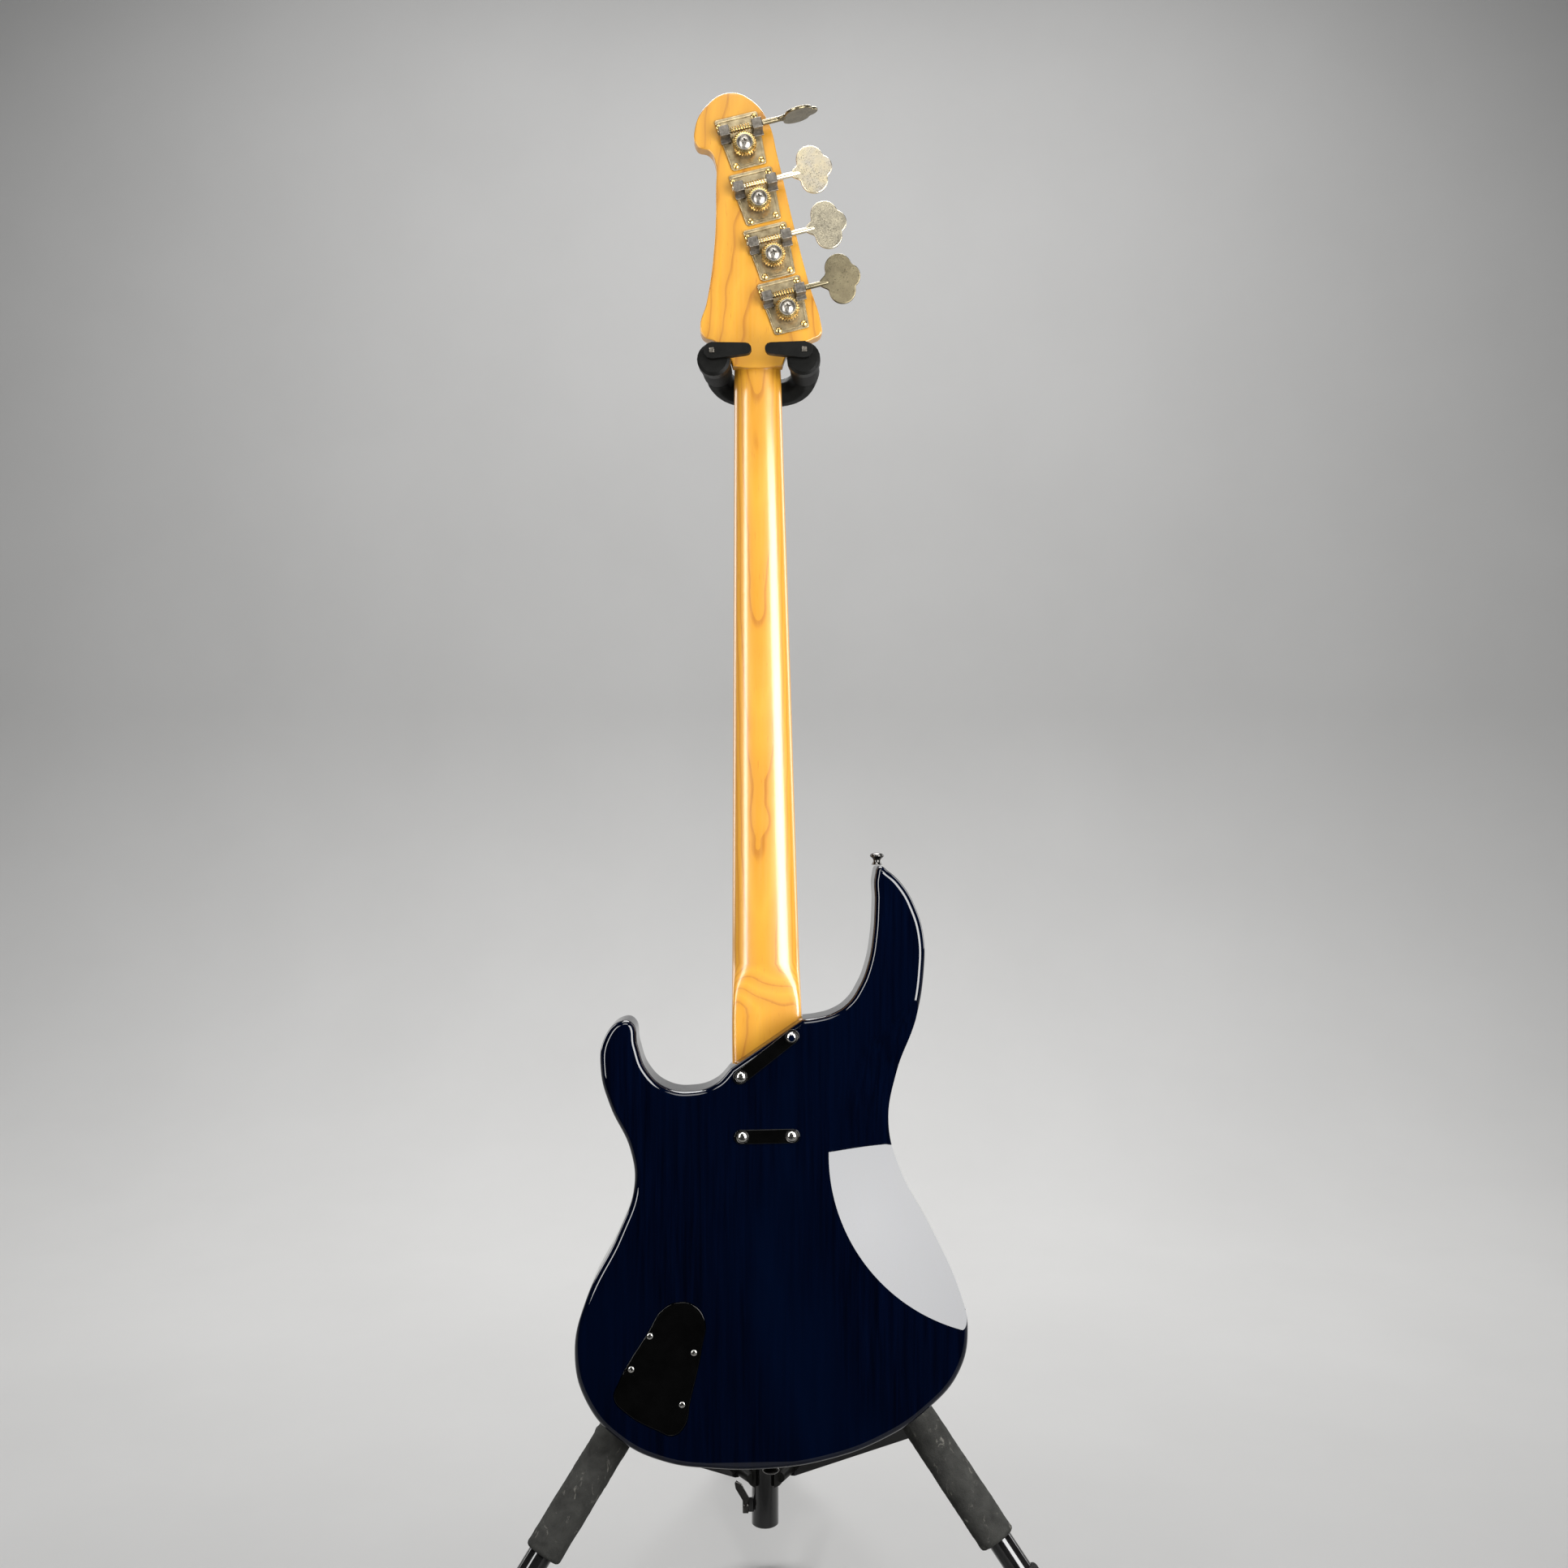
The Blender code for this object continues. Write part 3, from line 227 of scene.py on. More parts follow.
# Each of the four keys gets its own tint of the one key metal, from pale cream to dark bronze-grey.
KEY_PAINTS = [
    mottled("key_tint_dark", (0.30, 0.25, 0.155), (0.17, 0.14, 0.085), (0.24, 0.40), 1.0, 90.0, 1100.0, 0.00002),
    mottled("key_tint_cream", (0.88, 0.76, 0.50), (0.66, 0.60, 0.50), (0.24, 0.40), 1.0, 70.0, 1100.0, 0.00002),
    mottled("key_tint_grey", (0.64, 0.57, 0.41), (0.40, 0.36, 0.27), (0.26, 0.44), 1.0, 110.0, 1100.0, 0.00002),
    mottled("key_tint_darkest", (0.20, 0.17, 0.105), (0.13, 0.11, 0.068), (0.26, 0.40), 1.0, 100.0, 1100.0, 0.00002),
]


# --- Shapes ---


def link(name, data):
    obj = bpy.data.objects.new(name, data)
    bpy.context.scene.collection.objects.link(obj)
    return obj


def applied(obj):
    """The object with its modifiers or curve turned into mesh."""
    graph = bpy.context.evaluated_depsgraph_get()
    mesh = bpy.data.meshes.new_from_object(obj.evaluated_get(graph))
    name, matrix = obj.name, obj.matrix_world.copy()
    bpy.data.objects.remove(obj, do_unlink=True)
    mesh.transform(matrix)
    return link(name, mesh)


def smoothed(obj, angle=35.0):
    obj.data.shade_smooth()
    obj.data.set_sharp_from_angle(angle=math.radians(angle))
    return obj


def from_bmesh(name, bm):
    mesh = bpy.data.meshes.new(name)
    bmesh.ops.recalc_face_normals(bm, faces=bm.faces)
    bm.to_mesh(mesh)
    bm.free()
    return link(name, mesh)


def rods(name, spans, radius, segments=32):
    """Closed cylinders, one between each pair of points."""
    bm = bmesh.new()
    for start, end in spans:
        start, end = Vector(start), Vector(end)
        turn = (end - start).to_track_quat("Z", "Y").to_matrix().to_4x4()
        bmesh.ops.create_cone(
            bm, cap_ends=True, segments=segments, radius1=radius, radius2=radius,
            depth=(end - start).length, matrix=Matrix.Translation((start + end) / 2) @ turn,
        )
    return from_bmesh(name, bm)


def block(name, low, high, edge=0.0, segments=3):
    low, high = Vector(low), Vector(high)
    bm = bmesh.new()
    matrix = Matrix.Translation((low + high) / 2) @ Matrix.Diagonal((*(high - low), 1.0))
    bmesh.ops.create_cube(bm, size=1.0, matrix=matrix)
    if edge:
        bmesh.ops.bevel(bm, geom=bm.edges, offset=edge, segments=segments, affect="EDGES", profile=0.5)
    return from_bmesh(name, bm)


def turned(name, profile, segments=64, closed=False):
    """Spin (radius, height) points in millimetres about Z."""
    bm = bmesh.new()
    rings = []
    for r, z in profile:
        if r < 1e-9:
            rings.append([bm.verts.new((0.0, 0.0, z * MM))])
            continue
        angles = [2 * math.pi * i / segments for i in range(segments)]
        rings.append([bm.verts.new((r * MM * math.cos(a), r * MM * math.sin(a), z * MM)) for a in angles])
    pairs = list(zip(rings, rings[1:])) + ([(rings[-1], rings[0])] if closed else [])
    for a, b in pairs:
        for i in range(segments):
            j = (i + 1) % segments
            if len(a) == 1 and len(b) == 1:
                continue
            if len(a) == 1:
                bm.faces.new((a[0], b[i], b[j]))
            elif len(b) == 1:
                bm.faces.new((a[i], b[0], a[j]))
            else:
                bm.faces.new((a[i], b[i], b[j], a[j]))
    return from_bmesh(name, bm)


def plate(name, outline, depths, edge=0.0, corners=(), steps=10, straight=False, rounds=4):
    """A flat outline of (x, z) points in millimetres, between two depths along y."""
    curve = bpy.data.curves.new(name, "CURVE")
    curve.dimensions = "2D"
    curve.fill_mode = "BOTH"
    curve.resolution_u = 1 if straight else steps
    curve.extrude = (depths[1] - depths[0]) / 2 - edge
    curve.bevel_depth = edge
    curve.bevel_resolution = rounds
    curve.offset = -edge
    spline = curve.splines.new("BEZIER")
    spline.bezier_points.add(len(outline) - 1)
    spline.use_cyclic_u = True
    for index, (point, (x, z)) in enumerate(zip(spline.bezier_points, outline)):
        point.co = (x * MM, z * MM, 0.0)
        kind = "VECTOR" if straight or index in corners else "AUTO"
        point.handle_left_type = point.handle_right_type = kind
    obj = applied(link(name, curve))
    stand_up = Matrix.Rotation(math.radians(90), 4, "X")
    obj.data.transform(Matrix.Translation((0.0, (depths[0] + depths[1]) / 2, 0.0)) @ stand_up)
    weld(obj)
    return obj


def weld(obj, distance=0.000002):
    bm = bmesh.new()
    bm.from_mesh(obj.data)
    bmesh.ops.remove_doubles(bm, verts=bm.verts, dist=distance)
    bmesh.ops.recalc_face_normals(bm, faces=bm.faces)
    bm.to_mesh(obj.data)
    bm.free()
    return obj


def tube(name, points, radius, steps=12, rounds=8):
    """A round rod along a smooth path."""
    curve = bpy.data.curves.new(name, "CURVE")
    curve.dimensions = "3D"
    curve.resolution_u = steps
    curve.bevel_depth = radius
    curve.bevel_resolution = rounds
    curve.use_fill_caps = True
    spline = curve.splines.new("BEZIER")
    spline.bezier_points.add(len(points) - 1)
    for point, co in zip(spline.bezier_points, points):
        point.co = co
        point.handle_left_type = point.handle_right_type = "AUTO"
    return weld(applied(link(name, curve)))


def loft(name, sections):
    bm = bmesh.new()
    rings = [[bm.verts.new(p) for p in section] for section in sections]
    for ring, following in zip(rings, rings[1:]):
        for i in range(len(ring)):
            j = (i + 1) % len(ring)
            bm.faces.new((ring[i], ring[j], following[j], following[i]))
    bm.faces.new(rings[0])
    bm.faces.new(rings[-1])
    return from_bmesh(name, bm)


def boolean(obj, tools, operation):
    for tool in tools:
        modifier = obj.modifiers.new("Cut", "BOOLEAN")
        modifier.operation = operation
        modifier.solver = "EXACT"
        modifier.object = tool
    graph = bpy.context.evaluated_depsgraph_get()
    if not obj.evaluated_get(graph).data.polygons:
        for modifier in obj.modifiers:
            modifier.use_self = True
    obj = applied(obj)
    for tool in tools:
        bpy.data.objects.remove(tool, do_unlink=True)
    return obj


def cut(obj, *tools):
    return boolean(obj, tools, "DIFFERENCE")


def joined(obj, *tools):
    return boolean(obj, tools, "UNION")


def gathered(name, objs):
    """Several shapes as the parts of one piece."""
    bm = bmesh.new()
    for obj in objs:
        bm.from_mesh(obj.data)
        bpy.data.objects.remove(obj, do_unlink=True)
    mesh = bpy.data.meshes.new(name)
    bm.to_mesh(mesh)
    bm.free()
    return link(name, mesh)


def moved(obj, matrix):
    obj.data.transform(matrix)
    return obj


def copied(obj, name, matrix=None):
    new = link(name, obj.data.copy())
    if matrix is not None:
        new.data.transform(matrix)
    return new


def stadium(start, end, radius, steps=12):
    """The outline of a bar with round ends."""
    heading = math.atan2(end[1] - start[1], end[0] - start[0])
    outline = []
    for centre, first in ((end, -math.pi / 2), (start, math.pi / 2)):
        for i in range(steps + 1):
            angle = heading + first + math.pi * i / steps
            outline.append((centre[0] + radius * math.cos(angle), centre[1] + radius * math.sin(angle)))
    return outline


def bevelled(obj, width, segments=2, angle=32.0):
    """Soft edges where faces meet at more than the angle."""
    modifier = obj.modifiers.new("Edges", "BEVEL")
    modifier.width = width
    modifier.segments = segments
    modifier.limit_method = "ANGLE"
    modifier.angle_limit = math.radians(angle)
    modifier.use_clamp_overlap = True
    return applied(obj)


def weighted(obj):
    modifier = obj.modifiers.new("Normals", "WEIGHTED_NORMAL")
    modifier.keep_sharp = True
    modifier.weight = 80
    return obj


def show(obj, body, slot, paint=None, replaces=(), matrix=None, angle=35.0, flat=True):
    """Finish a piece: its place, shading, material, body and what it stands for."""
    if matrix is not None:
        obj.data.transform(matrix)
    smoothed(obj, angle)
    if flat:
        weighted(obj)
    obj.data.materials.clear()
    obj.data.materials.append((paint or PAINTS[slot]).material)
    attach(obj, body)
    if replaces:
        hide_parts(*replaces)
    return obj


def stand_in(obj, node, matrix=None, **more):
    return show(obj, BODIES[node], SLOTS[node], replaces=(node,), matrix=matrix, **more)


def from_node(node, suffix="_shell"):
    """The node's shape as a new object, its split corners welded and its flat faces merged."""
    obj = link(node + suffix, frame["nodes"][node].data.copy())
    bm = bmesh.new()
    bm.from_mesh(obj.data)
    bmesh.ops.remove_doubles(bm, verts=bm.verts, dist=0.000003)
    bmesh.ops.dissolve_limit(bm, angle_limit=math.radians(0.6), verts=bm.verts, edges=bm.edges)
    bmesh.ops.recalc_face_normals(bm, faces=bm.faces)
    bm.to_mesh(obj.data)
    bm.free()
    return obj


def crisp(node, width=0.0006, segments=2, paint=None):
    """A CAD part with its edges softened."""
    obj = bevelled(from_node(node), width, segments)
    return show(obj, BODIES[node], SLOTS[node], paint, (node,))


def moulded(node, voxel, rounds=6):
    """A CAD part remeshed fine and relaxed, as moulded rubber or plastic with rounded edges."""
    obj = from_node(node)
    remesh = obj.modifiers.new("Remesh", "REMESH")
    remesh.mode = "VOXEL"
    remesh.voxel_size = voxel
    relax = obj.modifiers.new("Relax", "SMOOTH")
    relax.factor = 0.5
    relax.iterations = rounds
    return show(applied(obj), BODIES[node], SLOTS[node], None, (node,), angle=60.0, flat=False)


def screw_head(radius, height, slot_width=0.22, cross=True, segments=32):
    """A domed screw head along +Z, in metres, with a cross or a single slot."""
    r, h = radius / MM, height / MM
    dome = [(0, h)] + [(r * math.sin(math.radians(a)), h * (0.35 + 0.65 * math.cos(math.radians(a)))) for a in
                       (18, 36, 54, 72, 90)] + [(r, 0.0), (0, 0.0)]
    head = turned("screw", dome, segments)
    half = radius * slot_width / 2
    reach = radius * (0.62 if cross else 1.3)
    tools = [block("slot", (-reach, -half, height * 0.45), (reach, half, height * 2))]
    if cross:
        tools.append(block("slot", (-half, -reach, height * 0.45), (half, reach, height * 2)))
    return cut(head, *tools)


TO_BACK = Matrix.Rotation(math.radians(90), 4, "X")
TO_FRONT = Matrix.Rotation(math.radians(-90), 4, "X")


def at(point, depth=0.0):
    return Vector((point[0] * MM, depth, point[1] * MM))


# --- Bass: body and its fittings ---

BODY_OUTLINE = [
    (30.5, -591), (44, -589.5), (57, -586), (69.5, -578), (79.5, -564), (87, -546), (92, -521), (94.3, -490),
    (94.8, -468), (98.4, -460.3), (107, -465), (119.3, -477.5), (129.3, -496), (136, -520), (136, -550),
    (128, -594), (111.5, -639), (104.2, -684), (115, -727), (142, -779), (163.5, -830), (168.8, -858), (161, -894),
    (133, -926), (91, -952), (45, -967), (0, -973), (-50, -972), (-93.5, -965), (-131, -946), (-158, -915),
    (-168.5, -872), (-158, -826), (-130, -771), (-116, -731), (-119, -700), (-136, -662), (-143.5, -632),
    (-140, -604), (-126.5, -590), (-116.5, -591), (-111.5, -611), (-104, -632), (-88, -647), (-65, -650.8),
    (-45, -645), (-31.6, -632),
]
COVER_OUTLINE = [
    (-80.5, -829.7), (-94, -836.5), (-104, -852), (-131, -896.6), (-134.8, -909), (-125, -921.5), (-97, -937.7),
    (-86, -941.8), (-76.3, -935.3), (-70, -912), (-59.5, -866.7), (-57, -846), (-65, -833),
]
HEAD_OUTLINE = [
    (-22, 229.8), (-1.5, 222.4), (12.5, 203), (20, 173), (34.3, 107.8), (46.7, 57.4), (57, 20.7), (57, 12.5),
    (48.2, 7.1), (36, 1.5), (26.5, -6), (22, -16), (0, -18), (-22, -16), (-25.5, -7), (-31, -0.5), (-38.4, 6.6),
    (-48, 10.5), (-50.8, 19.2), (-45, 40), (-37.3, 91.3), (-35.2, 140), (-36.3, 170), (-41, 177.3), (-51.5, 181.5),
    (-53.2, 197), (-42.6, 218),
]
COVER_SCREWS = [(-103.9, -857.4), (-66.5, -872.3), (-120.1, -885.1), (-77.1, -915.9)]
BOLTS = [(-23.2, -638.4), (20.4, -605.3), (-22.7, -689.7), (19.6, -689.7)]
POSTS = [(-9.1, 179.7), (3.1, 130.1), (15.2, 80.6), (26.8, 32.4)]
KNOBS = [(-78, -846), (-96, -866), (-113, -888)]
JACK_AT = (-118, -912)
PICKUPS = {"pickup_neck": -0.735, "pickup_bridge": -0.805}
HEEL_END, HEEL_DEPTH, THICK = -0.705, 0.025, 0.045
SCALE_LENGTH, FRET_COUNT = 0.864, 22
CLEARANCE = 0.0003
SCOOP_RADIUS, SCOOP_REACH, SCOOP_CENTRE = 0.4256, 0.155, (0.206, -0.709)
HEADSTOCK_BACK = 0.0307
WORM_DEPTH, WORM_HEIGHT = 0.0222, 0.0141


def neck_half_width(z):
    return 0.0206 + 0.01704 * min(-z, 0.605)


def grown(outline, scale):
    centre = [sum(p[i] for p in outline) / len(outline) for i in (0, 1)]
    return [tuple(centre[i] + scale * (p[i] - centre[i]) for i in (0, 1)) for p in outline]


def make_body():
    body = plate("bass_body", BODY_OUTLINE, (0.0, THICK), edge=0.006, corners=(0, 46), steps=9, rounds=10)
    front = THICK + 0.01
    half = neck_half_width(HEEL_END) + CLEARANCE
    tools = [block("pocket", (-half, HEEL_DEPTH - CLEARANCE, HEEL_END - CLEARANCE), (half, front, -0.560))]
    for z in PICKUPS.values():
        tools.append(block("pocket", (-0.0475, 0.031, z - 0.0125), (0.0475, front, z + 0.0125)))
    tools.append(plate("recess", grown(COVER_OUTLINE, 1.014), (-0.010, 0.0025)))
    tools.append(plate("cavity", grown(COVER_OUTLINE, 0.82), (0.001, 0.033)))
    tools.append(rods("holes", [(at(p, -0.01), at(p, 0.030)) for p in BOLTS], 0.0027))
    tools.append(rods("holes", [(at(p, 0.030), at(p, front)) for p in KNOBS], 0.0034))
    tools.append(rods("hole", [(at(JACK_AT, 0.030), at(JACK_AT, front))], 0.0052))
    bm = bmesh.new()
    bmesh.ops.create_uvsphere(bm, u_segments=240, v_segments=160, radius=SCOOP_RADIUS)
    scoop = from_bmesh("scoop", bm)
    scoop.data.transform(Matrix.Rotation(math.radians(90), 4, "X"))
    outside = math.sqrt(SCOOP_RADIUS**2 - SCOOP_REACH**2)
    scoop.data.transform(Matrix.Translation((SCOOP_CENTRE[0], -outside, SCOOP_CENTRE[1])))
    tools.append(scoop)
    body = cut(body, *tools)
    body = bevelled(weld(body), 0.0005, 2, 25.0)
    stand_in(body, "body", BASS, angle=14.0)


def make_neck():
    stations = [-0.705, -0.690, -0.660, -0.640, -0.615, -0.600, -0.590, -0.583, -0.575, -0.567, -0.560, -0.552]
    stations += [-0.545 + 0.015 * i for i in range(36)] + [-0.012, -0.004]
    sections = []
    for z in stations:
        heel = min(max((-0.545 - z) / 0.045, 0.0), 1.0)
        heel = heel * heel * (3 - 2 * heel)
        back = 0.034 + (0.0315 - 0.034) * min(-z / 0.5, 1.0)
        back += (HEEL_DEPTH - back) * heel
        power, half = 2.2 + 9.8 * heel, neck_half_width(z)
        ring = []
        for i in range(57):
            angle = math.pi * i / 56
            across, deep = math.cos(angle), math.sin(angle)
            x = half * math.copysign(abs(across) ** (2 / power), across)
            ring.append((x, 0.049 - (0.049 - back) * abs(deep) ** (2 / power), z))
        sections.append(ring)
    neck = loft("bass_neck", sections)
    head = plate("head", HEAD_OUTLINE, (0.031, 0.045), edge=0.0015, corners=(11, 13), steps=5, rounds=3)
    neck = joined(neck, head)
    posts = rods("holes", [(at(p, 0.02), at(p, 0.06)) for p in POSTS], 0.0055)
    bolts = rods("holes", [(at(p, 0.02), at(p, 0.0425)) for p in BOLTS], 0.0027)
    neck = cut(neck, posts, bolts)
    top = max(vertex.co.z for vertex in neck.data.vertices) - 0.0001
    for vertex in neck.data.vertices:
        vertex.co.z = min(vertex.co.z, top)
    stand_in(weld(neck), "neck", BASS, angle=38.0)


def make_fingerboard():
    crisp("fingerboard", 0.0004)
    frets, dots = [], []
    for n in range(1, FRET_COUNT + 1):
        z = -SCALE_LENGTH * (1 - 2 ** (-n / 12))
        half = neck_half_width(z) - 0.0006
        points = [(half * (1 - i / 5), 0.0550 - 0.0016 * (1 - i / 5) ** 2 + 0.0001, z) for i in range(11)]
        frets.append(tube("fret", points, 0.00085, 1, 3))
        middle = -SCALE_LENGTH * (1 - (2 ** (-n / 12) + 2 ** (-(n - 1) / 12)) / 2)
        spots = {3: (0,), 5: (0,), 7: (0,), 9: (0,), 12: (-9, 9), 15: (0,), 17: (0,), 19: (0,), 21: (0,)}
        for x in spots.get(n, ()):
            dots.append(rods("dot", [((x * MM, 0.0540, middle), (x * MM, 0.05515, middle))], 0.0032, 32))
            side = neck_half_width(middle)
            edge = [((side - 0.001, 0.0515, middle), (side + 0.00005, 0.0515, middle))]
            dots.append(rods("dot", edge, 0.0011, 20))
    show(gathered("frets", frets), "bass", "steel", matrix=BASS, flat=False)
    show(gathered("position_dots", dots), "bass", "bone", matrix=BASS)
    crisp("nut", 0.0003)


def make_bolts():
    bolt = turned("bolt", [(0, 3.9), (1.6, 3.8), (2.9, 3.45), (4.0, 2.8), (4.5, 2.2), (4.65, 1.9), (4.65, 1.6),
                           (2.4, 1.6), (2.4, -38), (0, -40)], 48)
    recess = [block("cross", (-0.0019, -0.0005, 0.0022), (0.0019, 0.0005, 0.006)),
              block("cross", (-0.0005, -0.0019, 0.0022), (0.0005, 0.0019, 0.006))]
    bolt = bevelled(cut(bolt, *recess), 0.00012, 2, 40.0)
    for number, spot in enumerate(BOLTS, 1):
        turn = Matrix.Rotation(math.radians(37 * number), 4, "Z")
        piece = copied(bolt, f"neck_bolt_{number}_head", Matrix.Translation(at(spot)) @ TO_BACK @ turn)
        stand_in(piece, f"neck_bolt_{number}", BASS)
    bpy.data.objects.remove(bolt, do_unlink=True)
    for node, (first, last) in {"neck_plate_upper": BOLTS[:2], "neck_plate_lower": BOLTS[2:]}.items():
        heading = math.atan2(last[1] - first[1], last[0] - first[0])
        reach = math.cos(heading), math.sin(heading)
        start, end = [tuple(p[i] + s * reach[i] for i in (0, 1)) for p, s in ((first, -1), (last, 1))]
        outline = stadium(start, end, 6.0, 16)
        bar = plate(node + "_bar", outline, (-0.0019, -0.0003), 0.0004, straight=True, rounds=2)
        wells = rods("wells", [(at(p, -0.01), at(p, 0.01)) for p in (first, last)], 0.0027)
        stand_in(cut(bar, wells), node, BASS)
        rings = []
        for spot in (first, last):
            ring = turned("ring", [(4.9, 1.9), (5.2, 2.1), (5.5, 2.05), (5.6, 1.8), (4.9, 1.8)], 48, True)
            rings.append(moved(ring, Matrix.Translation(at(spot)) @ TO_BACK))
        show(gathered(node + "_washers", rings), "bass", "dark_nickel", matrix=BASS)


def make_cover():
    cover = plate("cavity_cover", COVER_OUTLINE, (0.0002, 0.0022), 0.0004, rounds=2)
    wells = rods("wells", [(at(p, -0.01), at(p, 0.0008)) for p in COVER_SCREWS], 0.0031)
    stand_in(bevelled(cut(cover, wells), 0.0003, 2, 40.0), "control_cover", BASS)
    head = bevelled(screw_head(0.0027, 0.0012), 0.00008, 1, 40.0)
    heads = []
    for number, spot in enumerate(COVER_SCREWS):
        turn = Matrix.Rotation(math.radians(20 + 31 * number), 4, "Z")
        heads.append(copied(head, "head", Matrix.Translation(at(spot, 0.0006)) @ TO_BACK @ turn))
    bpy.data.objects.remove(head, do_unlink=True)
    show(gathered("cover_screws", heads), "bass", "chrome", matrix=BASS)


def make_strap_buttons():
    profile = [(0, 9.6), (1.6, 9.7), (2.4, 10.35), (4.2, 10.0), (5.5, 9.1), (6.1, 8.3), (6.15, 7.7), (5.6, 6.9),
               (4.2, 5.7), (3.4, 4.8), (3.1, 4.0), (3.2, 3.0), (3.8, 1.4), (4.6, 0.3), (4.6, 0), (0, 0)]
    for node, spot, turn, scale in (("strap_button_upper", (98.0, -459.5), 2.0, 1.0),
                                    ("strap_button_lower", (-2.0, -973.6), 180.0, 1.18)):
        button = turned(node + "_turned", [(r * scale, z) for r, z in profile], 64)
        axis = "Y" if turn < 90 else "X"
        place = Matrix.Translation(at(spot, 0.0225)) @ Matrix.Rotation(math.radians(turn), 4, axis)
        screw = screw_head(0.0024, 0.0009)
        screw.data.transform(place @ Matrix.Translation((0, 0, 0.0096)))
        stand_in(button, node, BASS @ place, angle=40.0)
        show(screw, "bass", "chrome", matrix=BASS).name = node + "_screw"


def make_electronics():
    for node, z in PICKUPS.items():
        crisp(node, 0.0012, 3)
        poles = [rods("pole", [((x * MM, 0.054, z), (x * MM, 0.0554, z))], 0.0024, 32)
                 for x in (-32, -23.5, -13, -4.5, 4.5, 13, 23.5, 32)]
        show(bevelled(gathered(node + "_poles", poles), 0.0003), "bass", "steel", matrix=BASS)
    for number, spot in enumerate(KNOBS, 1):
        teeth, bm, rings = 40, bmesh.new(), []
        levels = [(3.0, 37.0), (3.0, 45.6), (9.4, 45.6), (10.0, 46.4), (9.6, 50.0), (9.1, 60.4), (8.4, 61.8),
                  (7.2, 62.6), (6.6, 62.2), (0.5, 62.0)]
        for level, (r, z) in enumerate(levels):
            ring = []
            for i in range(teeth * 4):
                ridge = (0.22 if i % 4 in (1, 2) else -0.22) if level in (4, 5) else 0.0
                a = 2 * math.pi * i / (teeth * 4)
                ring.append(bm.verts.new(((r + ridge) * MM * math.cos(a), (r + ridge) * MM * math.sin(a), z * MM)))
            rings.append(ring)
        for a, b in zip(rings, rings[1:]):
            for i in range(len(a)):
                j = (i + 1) % len(a)
                bm.faces.new((a[i], b[i], b[j], a[j]))
        bm.faces.new(rings[0])
        bm.faces.new(rings[-1])
        knob = from_bmesh(f"knob_{number}_knurled", bm)
        stand_in(moved(knob, TO_FRONT), f"knob_{number}", BASS @ Matrix.Translation(at(spot)))
    crisp("output_jack", 0.0003)
    nut = plate("jack_nut", [(7.2 * math.cos(math.radians(60 * i)), 7.2 * math.sin(math.radians(60 * i)))
                             for i in range(6)], (THICK + 0.0030, THICK + 0.0052), straight=True)
    bore = rods("bore", [((0, THICK, 0), (0, THICK + 0.01, 0))], 0.0051)
    nut = bevelled(cut(nut, bore), 0.0003)
    show(nut, "bass", "chrome", matrix=BASS @ Matrix.Translation(at(JACK_AT)))


def make_bridge():
    crisp("bridge_plate", 0.0004)
    parts = []
    for n in range(4):
        x = (n - 1.5) * 0.019
        radius = (0.00055, 0.00075, 0.0010, 0.0013)[n]
        base = block("saddle", (x - 0.0085, 0.0484, -0.876), (x + 0.0085, 0.0590 - radius, -0.861), 0.0012)
        groove = rods("groove", [((x, 0.0600, -0.88), (x, 0.0600, -0.85))], radius + 0.0004, 24)
        parts.append(cut(base, groove))
        parts.append(rods("screw", [((x, 0.0525, -0.9015), (x, 0.0525, -0.8765))], 0.0013, 20))
        for side in (-0.006, 0.006):
            parts.append(rods("screw", [((x + side, 0.0482, -0.868), (x + side, 0.0605, -0.868))], 0.0012, 20))
    for x in (-0.035, -0.012, 0.012, 0.035):
        head = screw_head(0.0032, 0.0016)
        parts.append(moved(head, Matrix.Translation((x, 0.0480, -0.852)) @ TO_FRONT))
    show(gathered("bridge_saddles", parts), "bass", "chrome", matrix=BASS)


